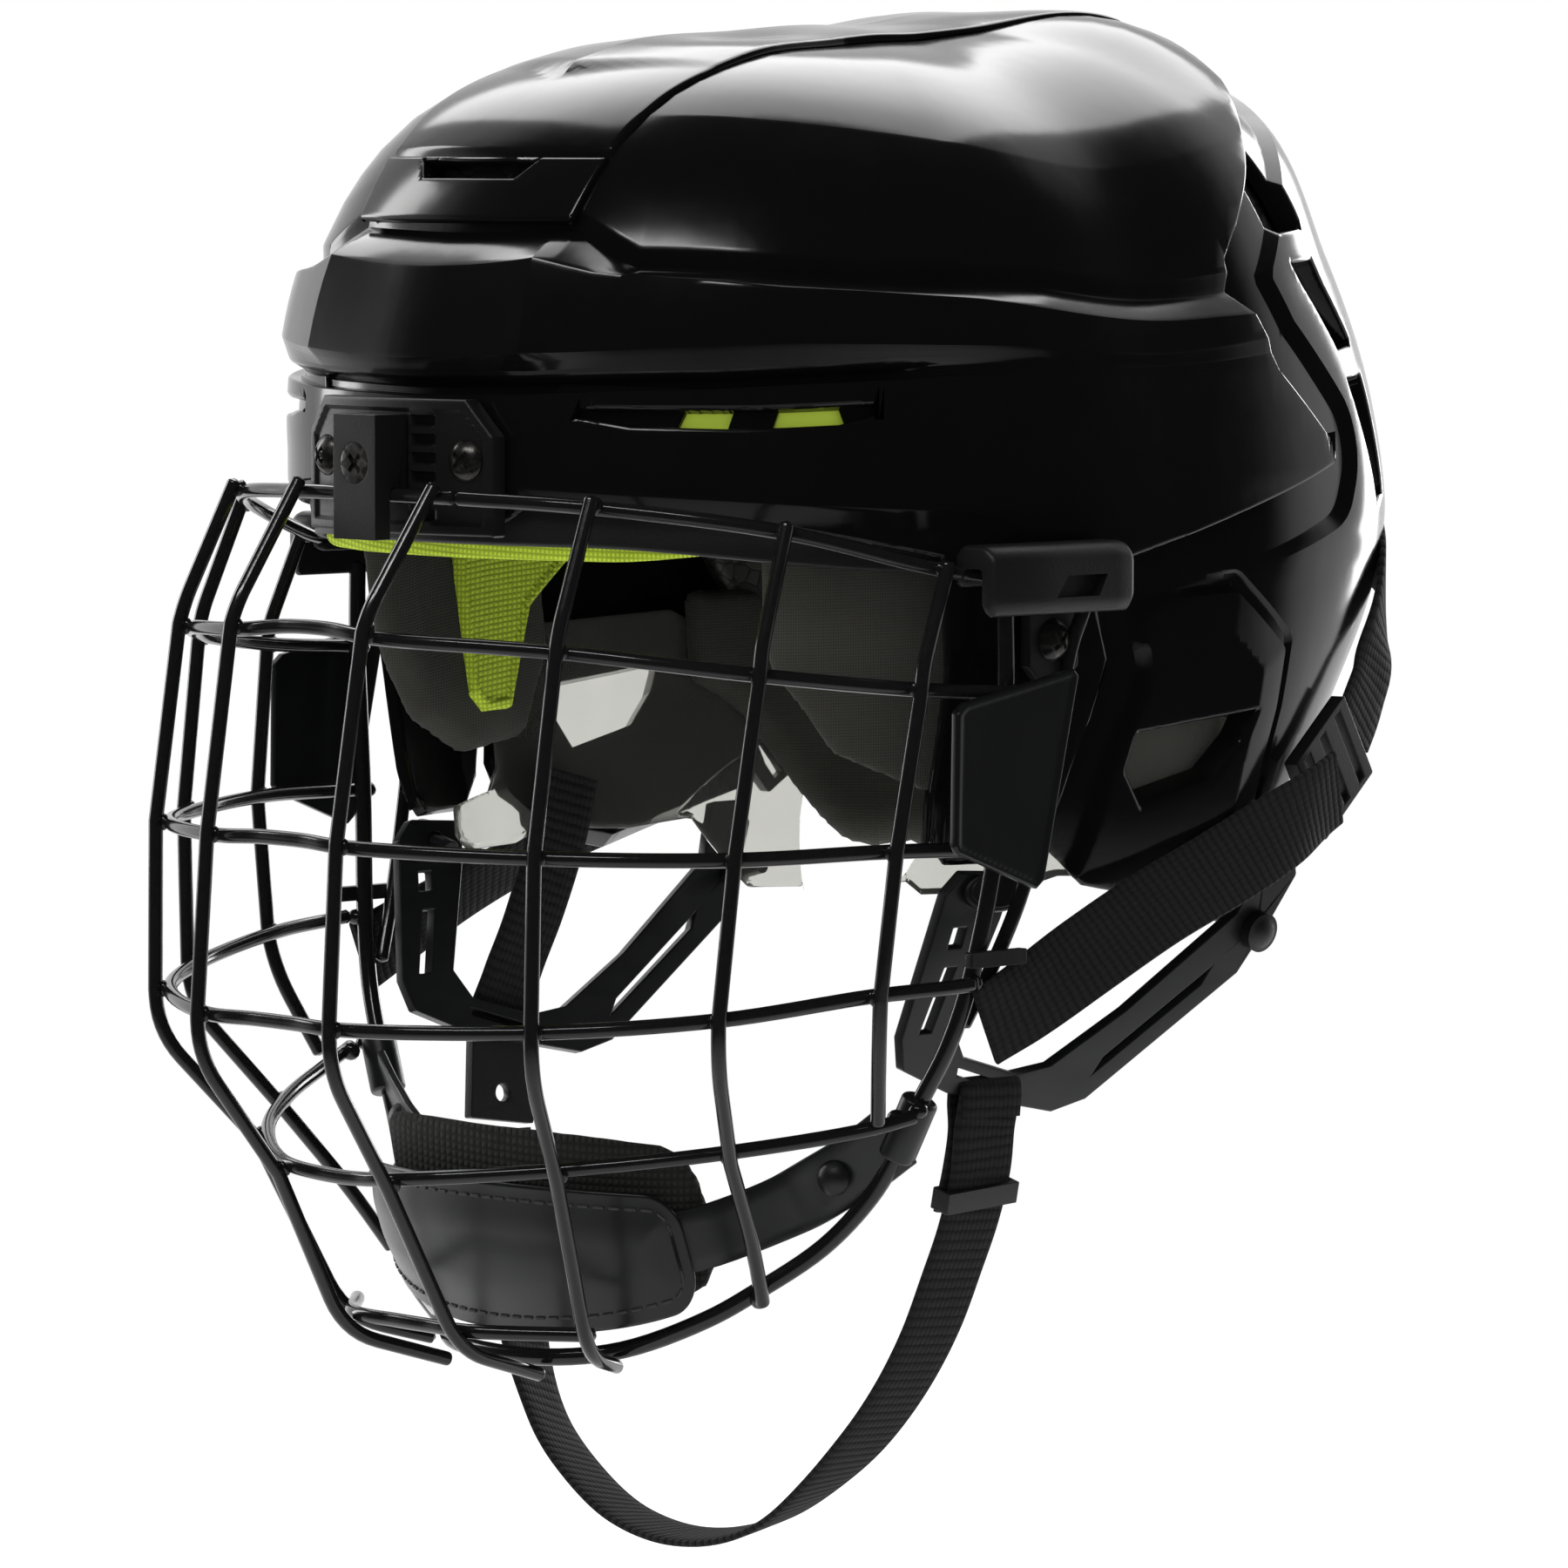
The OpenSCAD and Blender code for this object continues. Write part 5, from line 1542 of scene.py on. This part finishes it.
class HELMET_OT_cage(bpy.types.Operator):
    """Wires of the cage with the welds where they cross"""
    bl_idname = "helmet.cage"
    bl_label = "Cage"

    def execute(self, context):
        cage = context.scene.helmet_cage
        d = cage.wire_diameter / MM
        r, sides = d / 2, cage.wire_sides
        for i in range(4):
            verts, faces = rod(rounded(np.array(WIRES[i]), BENDS), r, sides)
            stand_in(f"wire_left_{i + 1}", verts, faces)
            stand_in(f"wire_right_{i + 1}", mirrored(verts), faces)
        halves = bar_halves(d)
        for node, half in halves.items():
            verts, faces = rod(through(both_sides(half), 8), r, sides)
            stand_in(node, verts, faces)
        top = np.array([(24, *HINGE[1:]), *[bar_at(i, 1, d) for i in (1, 2, 3)], (98.4, -46, 0.2),
                        (98.6, -24, -1.6)])
        verts, faces = rod(through(top, 10), r, sides)
        stand_in("top_bar_left", verts, faces)
        stand_in("top_bar_right", mirrored(verts), faces)
        middle = np.array([(x, *HINGE[1:]) for x in np.linspace(-23.8, 23.8, 9)])
        stand_in("hinge_bar", *rod(middle, r, sides))
        edge = through(both_sides(FRAME_HALF), 6)
        stand_in("cage_frame", *rod(edge, cage.frame_diameter / MM / 2, sides + 2))
        pair = with_mirror(*rod(through(np.array(REAR_WIRE), 6), r, sides))
        make_object("cage_rear_wires", *pair, finish("wire"), "cage", "wire", crease=60)
        self.welds(halves, edge, d)
        return {"FINISHED"}

    def welds(self, halves, edge, d):
        """Beads where the bars cross the uprights, and where both end on the frame wire."""
        def end_bead(end, reach):
            near = edge[np.argmin(np.linalg.norm(edge - end, axis=1))]
            return bead((end + near) / 2, reach, np.eye(3))

        lumps = []
        for node, k in {"bar_2": 3, "bar_3": 4, "bar_4": 5, "bar_5": 7}.items():
            for i in range(3 if k == 7 else 4):
                w = np.array(WIRES[i])
                lumps.append(cross_weld(w[k], bar_at(i, k, d), w[k + 1] - w[k - 1], d / 2))
            lumps.append(end_bead(np.array(halves[node][-1]), (2.2, 1.9, 1.7)))
        for i in (1, 2, 3):
            w = np.array(WIRES[i])
            lumps.append(cross_weld(w[1], bar_at(i, 1, d), w[2] - w[1], d / 2))
        for i in (2, 3):
            lumps.append(end_bead(np.array(WIRES[i][-1]), (2.1, 1.9, 2.0)))
        lumps += [(mirrored(v), f) for v, f in lumps]
        make_object("cage_welds", *joined(lumps), finish("wire"), "cage", "wire", crease=60)


# Chin cup

class HELMET_OT_chin_cup(bpy.types.Operator):
    """Chin cup: padded cup, cover with a stitched edge, and band"""
    bl_idname = "helmet.chin_cup"
    bl_label = "Chin cup"

    REACH, STAND_OFF, CORNER, CROWN = 64, 4.3, 7, 1.5
    INSET, PITCH = 3.2, 3.2

    def execute(self, context):
        verts, faces, _, _ = cup_sheet(reach=83, outer=-2.2, inner=-8.8, low_edge=(-148, 15),
                                       high_edge=(-107.6, -4), edge=3.0, corner=9, crown=1.2, under=0.5)
        pad = stand_in("chin_cup_pad", verts, faces, crease=60, name="chin_cup_cushion")
        cloth_puff(pad, voxel=2.0, cap=1.6)
        verts, faces, place, limit = cup_sheet(reach=self.REACH, outer=self.STAND_OFF, inner=2.9,
                                               low_edge=(-149, 16), high_edge=(-118, -2), edge=0.8,
                                               corner=self.CORNER, crown=self.CROWN, under=-0.6)
        cover = stand_in("chin_cup_cover", verts, faces, crease=50, look=finish("plate"))
        self.stitching(place, limit)
        self.band()
        return {"FINISHED"}

    def stitching(self, place, limit):
        """Stitches round the cover, at an even distance inside its edge."""
        s = np.linspace(0, 1, 500)
        width = 2 * self.REACH
        u = np.concatenate([-self.REACH + width * s, np.full(200, self.REACH), self.REACH - width * s,
                            np.full(200, -self.REACH)])
        t = np.concatenate([np.zeros(500), np.linspace(0, 1, 200), np.ones(500), np.linspace(1, 0, 200)])
        ring = np.stack([u, t], -1)
        nudge = np.array([0.01, 0.01 / 40])
        for _ in range(60):
            gap = limit(ring) + self.INSET
            slope = np.stack([limit(ring + step) - limit(ring - step) for step in np.diag(nudge)], -1)
            slope /= 2 * nudge
            slope /= np.maximum((slope ** 2).sum(1, keepdims=True), 1e-9)
            ring = ring - 0.5 * gap[:, None] * slope
        off = self.STAND_OFF + self.CROWN * ease(self.INSET, 0, self.CORNER * CROWN_RUN) + 0.12
        path = place(ring, off)
        along = np.concatenate([[0], np.cumsum(np.linalg.norm(np.diff(path, axis=0), axis=1))])
        stitches = []
        for start in np.arange(0, along[-1] - self.PITCH, self.PITCH):
            at = np.linspace(start, start + self.PITCH * 0.72, 5)
            cut = np.stack([np.interp(at, along, path[:, k]) for k in range(3)], -1)
            if np.linalg.norm(cut[-1] - cut[0]) > self.PITCH * 0.4:
                stitches.append(rod(cut, r=0.32, sides=6))
        make_object("cup_stitching", *joined(stitches), finish("webbing_thread"), "cage", "cup_cloth",
                    crease=60)

    def band(self):
        """The band through the cup, with a sleeve on the frame wire at each end."""
        half = [cup_point(a, 1.2, -134 + 6 * a / 70) for a in (8.0, 24.0, 40.0, 56.0, 70.0)]
        half += [np.array(p) for p in CUP_BAND_ENDS]
        verts, faces, _ = webbing(through(both_sides(half), 6), width=13, thick=1.8, across=(0, -0.3, 1))
        sleeve, rim = lathe(rounded_profile(r=3.65, low=-6.5, high=6.5, soft=0.8), sides=28)
        sleeve = turned(sleeve, (77.9, -54.1, -105.6), (0.4181, 0.1089, 0.9018))
        verts, faces = joined([(verts, faces), (sleeve, rim), (mirrored(sleeve), rim)])
        stand_in("chin_cup_band", verts, faces, crease=40, look=finish("loop"))


# Straps

class HELMET_OT_straps(bpy.types.Operator):
    """Chin strap, riser, rear strap and the two cage straps"""
    bl_idname = "helmet.straps"
    bl_label = "Straps"

    def execute(self, context):
        soft = context.scene.helmet_soft
        width, thick = soft.webbing_width / MM, soft.webbing_thickness / MM
        for name, flip in SIDES:
            path = through(np.array(CAGE_STRAP), 8)
            t = np.linspace(0, 1, len(path))
            across = np.stack([-0.55 * np.sin(np.pi * t) ** 2, np.full_like(t, 0.3), np.ones_like(t)], -1)
            verts, faces, uv = webbing(path, width, thick, across)
            stand_in("cage_strap_" + name, verts * (flip, 1, 1), faces, crease=40, uv=uv)
        back = [on_form(float(az), 4 - (180 - az) / 6, -2.35) for az in range(180, 143, -12)]
        back += [np.array(p) for p in REAR_STRAP_ENDS]
        path = through(np.concatenate([mirrored(np.array(back[:0:-1])), np.array(back)]), 8)
        verts, faces, uv = webbing(path, width, thick, (0, 0, 1))
        stand_in("rear_strap", verts, faces, crease=40, uv=uv)
        verts, faces, uv = webbing(through(np.array(RISER), 8), width, thick, (0, 1, 0.2))
        stand_in("strap_riser", verts, faces, crease=40, uv=uv)

        verts, faces, uv = webbing(through(np.array(STRAP_FOLD), 8), width, thick, (0, 1, 0))
        make_object("strap_fold", verts, faces, finish("webbing"), "rear", "webbing", crease=40, uv=uv)

        steps = 8
        path = through(np.array(CHIN_STRAP), steps)
        i = np.arange(len(path)) * 2 / steps
        lean = -0.5 * ease(i, 14, 20) * (1 - ease(i, 28, 34))
        across = np.stack([lean, np.ones_like(i), np.zeros_like(i)], -1)
        verts, faces, uv = webbing(path, width, thick, across)
        strap = stand_in("chin_strap", verts, faces, crease=40, uv=uv)
        return {"FINISHED"}


# Stage

class HELMET_OT_stage(bpy.types.Operator):
    """Floor, world, lamps and camera"""
    bl_idname = "helmet.stage"
    bl_label = "Stage"

    def execute(self, context):
        scene, stage = context.scene, context.scene.helmet_stage
        data = bpy.data.cameras.new("camera")
        data.lens, data.sensor_width, data.clip_start, data.clip_end = stage.lens, 36.0, 0.05, 40.0
        camera = bpy.data.objects.new("camera", data)
        scene.collection.objects.link(camera)
        a, e = stage.azimuth, stage.elevation
        back = Vector((math.sin(a) * math.cos(e), -math.cos(a) * math.cos(e), math.sin(e)))
        camera.location = Vector(stage.target) + back * stage.distance
        camera.rotation_mode = "QUATERNION"
        camera.rotation_quaternion = (-back).to_track_quat("-Z", "Y")
        scene.camera = camera
        self.floor(stage)
        self.lamps(scene, stage)
        self.world(scene)
        scene.view_settings.view_transform = "Standard"
        return {"FINISHED"}

    def floor(self, stage):
        mesh = bpy.data.meshes.new("floor")
        bm = bmesh.new()
        bmesh.ops.create_circle(bm, cap_ends=True, segments=96, radius=0.64)
        bmesh.ops.translate(bm, verts=bm.verts, vec=(0, 0, stage.floor_height))
        bm.to_mesh(mesh)
        bm.free()
        mesh.materials.append(floor_finish())
        floor = bpy.data.objects.new("floor", mesh)
        bpy.context.scene.collection.objects.link(floor)

    def lamps(self, scene, stage):
        # The name, place, aim, size in metres and watts of each
        rows = (("overhead_softbox", (-0.55, 0.5, 0.98), (0, 0, 0.02), (1.25, 1.0), 14.0),
                ("rear_softbox", (-0.35, 1.5, 0.25), (0.05, 0.0, 0.0), (0.45, 1.0), 9.0),
                ("left_softbox", (-1.45, -0.4, 0.4), (0.0, -0.05, -0.05), (0.3, 1.1), 7.0),
                ("front_strip", (0.35, -1.25, 1.35), (0.0, 0.0, -0.05), (1.3, 0.12), 9.0),
                ("face_fill", (0.75, -1.35, 0.05), (-0.05, 0.1, -0.05), (0.35, 0.3), 1.6))
        for name, where, aim, size, watts in rows:
            data = bpy.data.lights.new(name, "AREA")
            data.shape, data.size, data.size_y = "RECTANGLE", *size
            data.energy = watts * stage.lamp_level
            lamp = bpy.data.objects.new(name, data)
            scene.collection.objects.link(lamp)
            lamp.location = where
            lamp.visible_glossy = name != "face_fill"
            lamp.rotation_mode = "QUATERNION"
            lamp.rotation_quaternion = (Vector(aim) - Vector(where)).to_track_quat("-Z", "Y")

    def world(self, scene):
        world = bpy.data.worlds.new("studio")
        scene.world = world
        f = Finish("studio", world)
        x, y, up = f.axes(f.node("TexCoord", out=0))
        rays = f.node("LightPath").out.node.outputs
        camera, glossy, clear = (Socket(f.tree, rays[f"Is {kind} Ray"]) for kind in
                                 ("Camera", "Glossy", "Transmission"))
        behind = x * -0.731 + y * 0.682
        room = f.ramp(behind * 0.5 + 0.5 - abs(up) * 0.26, (0.0, (0.012,) * 3), (0.5, (0.02,) * 3),
                      (0.62, (0.75,) * 3), (1.0, (0.93,) * 3))
        pale = f.mix(camera, (0.62, 0.62, 0.62), (1.0, 1.0, 1.0))
        seen = f.mix((glossy + clear).clamped() * (1 - camera), pale, room)
        surface = f.node("Background", inputs={"Color": seen, "Strength": 1.0})
        f.node("OutputWorld", inputs={"Surface": surface})


class HELMET_PT_panel(bpy.types.Panel):
    """The helmet's pieces, sizes and colours"""
    bl_idname = "HELMET_PT_panel"
    bl_label = "Hockey helmet"
    bl_space_type = "VIEW_3D"
    bl_region_type = "UI"
    bl_category = "Helmet"

    def draw(self, context):
        for group in GROUPS:
            box = self.layout.box()
            settings = getattr(context.scene, group)
            for name in settings.bl_rna.properties.keys():
                if name not in ("rna_type", "name"):
                    box.prop(settings, name)
        for operator in OPERATORS:
            self.layout.operator(operator.bl_idname)


GROUPS = {"helmet_shell": HelmetShell, "helmet_cage": HelmetCage, "helmet_soft": HelmetSoft,
          "helmet_stage": HelmetStage}
OPERATORS = (HELMET_OT_stage, HELMET_OT_hardware, HELMET_OT_straps, HELMET_OT_front_shell,
             HELMET_OT_rear_shell, HELMET_OT_top_panels, HELMET_OT_linings, HELMET_OT_ear_guards,
             HELMET_OT_cage, HELMET_OT_chin_cup)


def register():
    for cls in (*GROUPS.values(), *OPERATORS, HELMET_PT_panel):
        bpy.utils.register_class(cls)
    for name, group in GROUPS.items():
        setattr(bpy.types.Scene, name, PointerProperty(type=group))


def unregister():
    for name in GROUPS:
        delattr(bpy.types.Scene, name)
    for cls in (HELMET_PT_panel, *OPERATORS[::-1], *list(GROUPS.values())[::-1]):
        bpy.utils.unregister_class(cls)


def main():
    register()
    for operator in OPERATORS:
        group, name = operator.bl_idname.split(".")
        getattr(getattr(bpy.ops, group), name)()


if __name__ == "__main__":
    main()
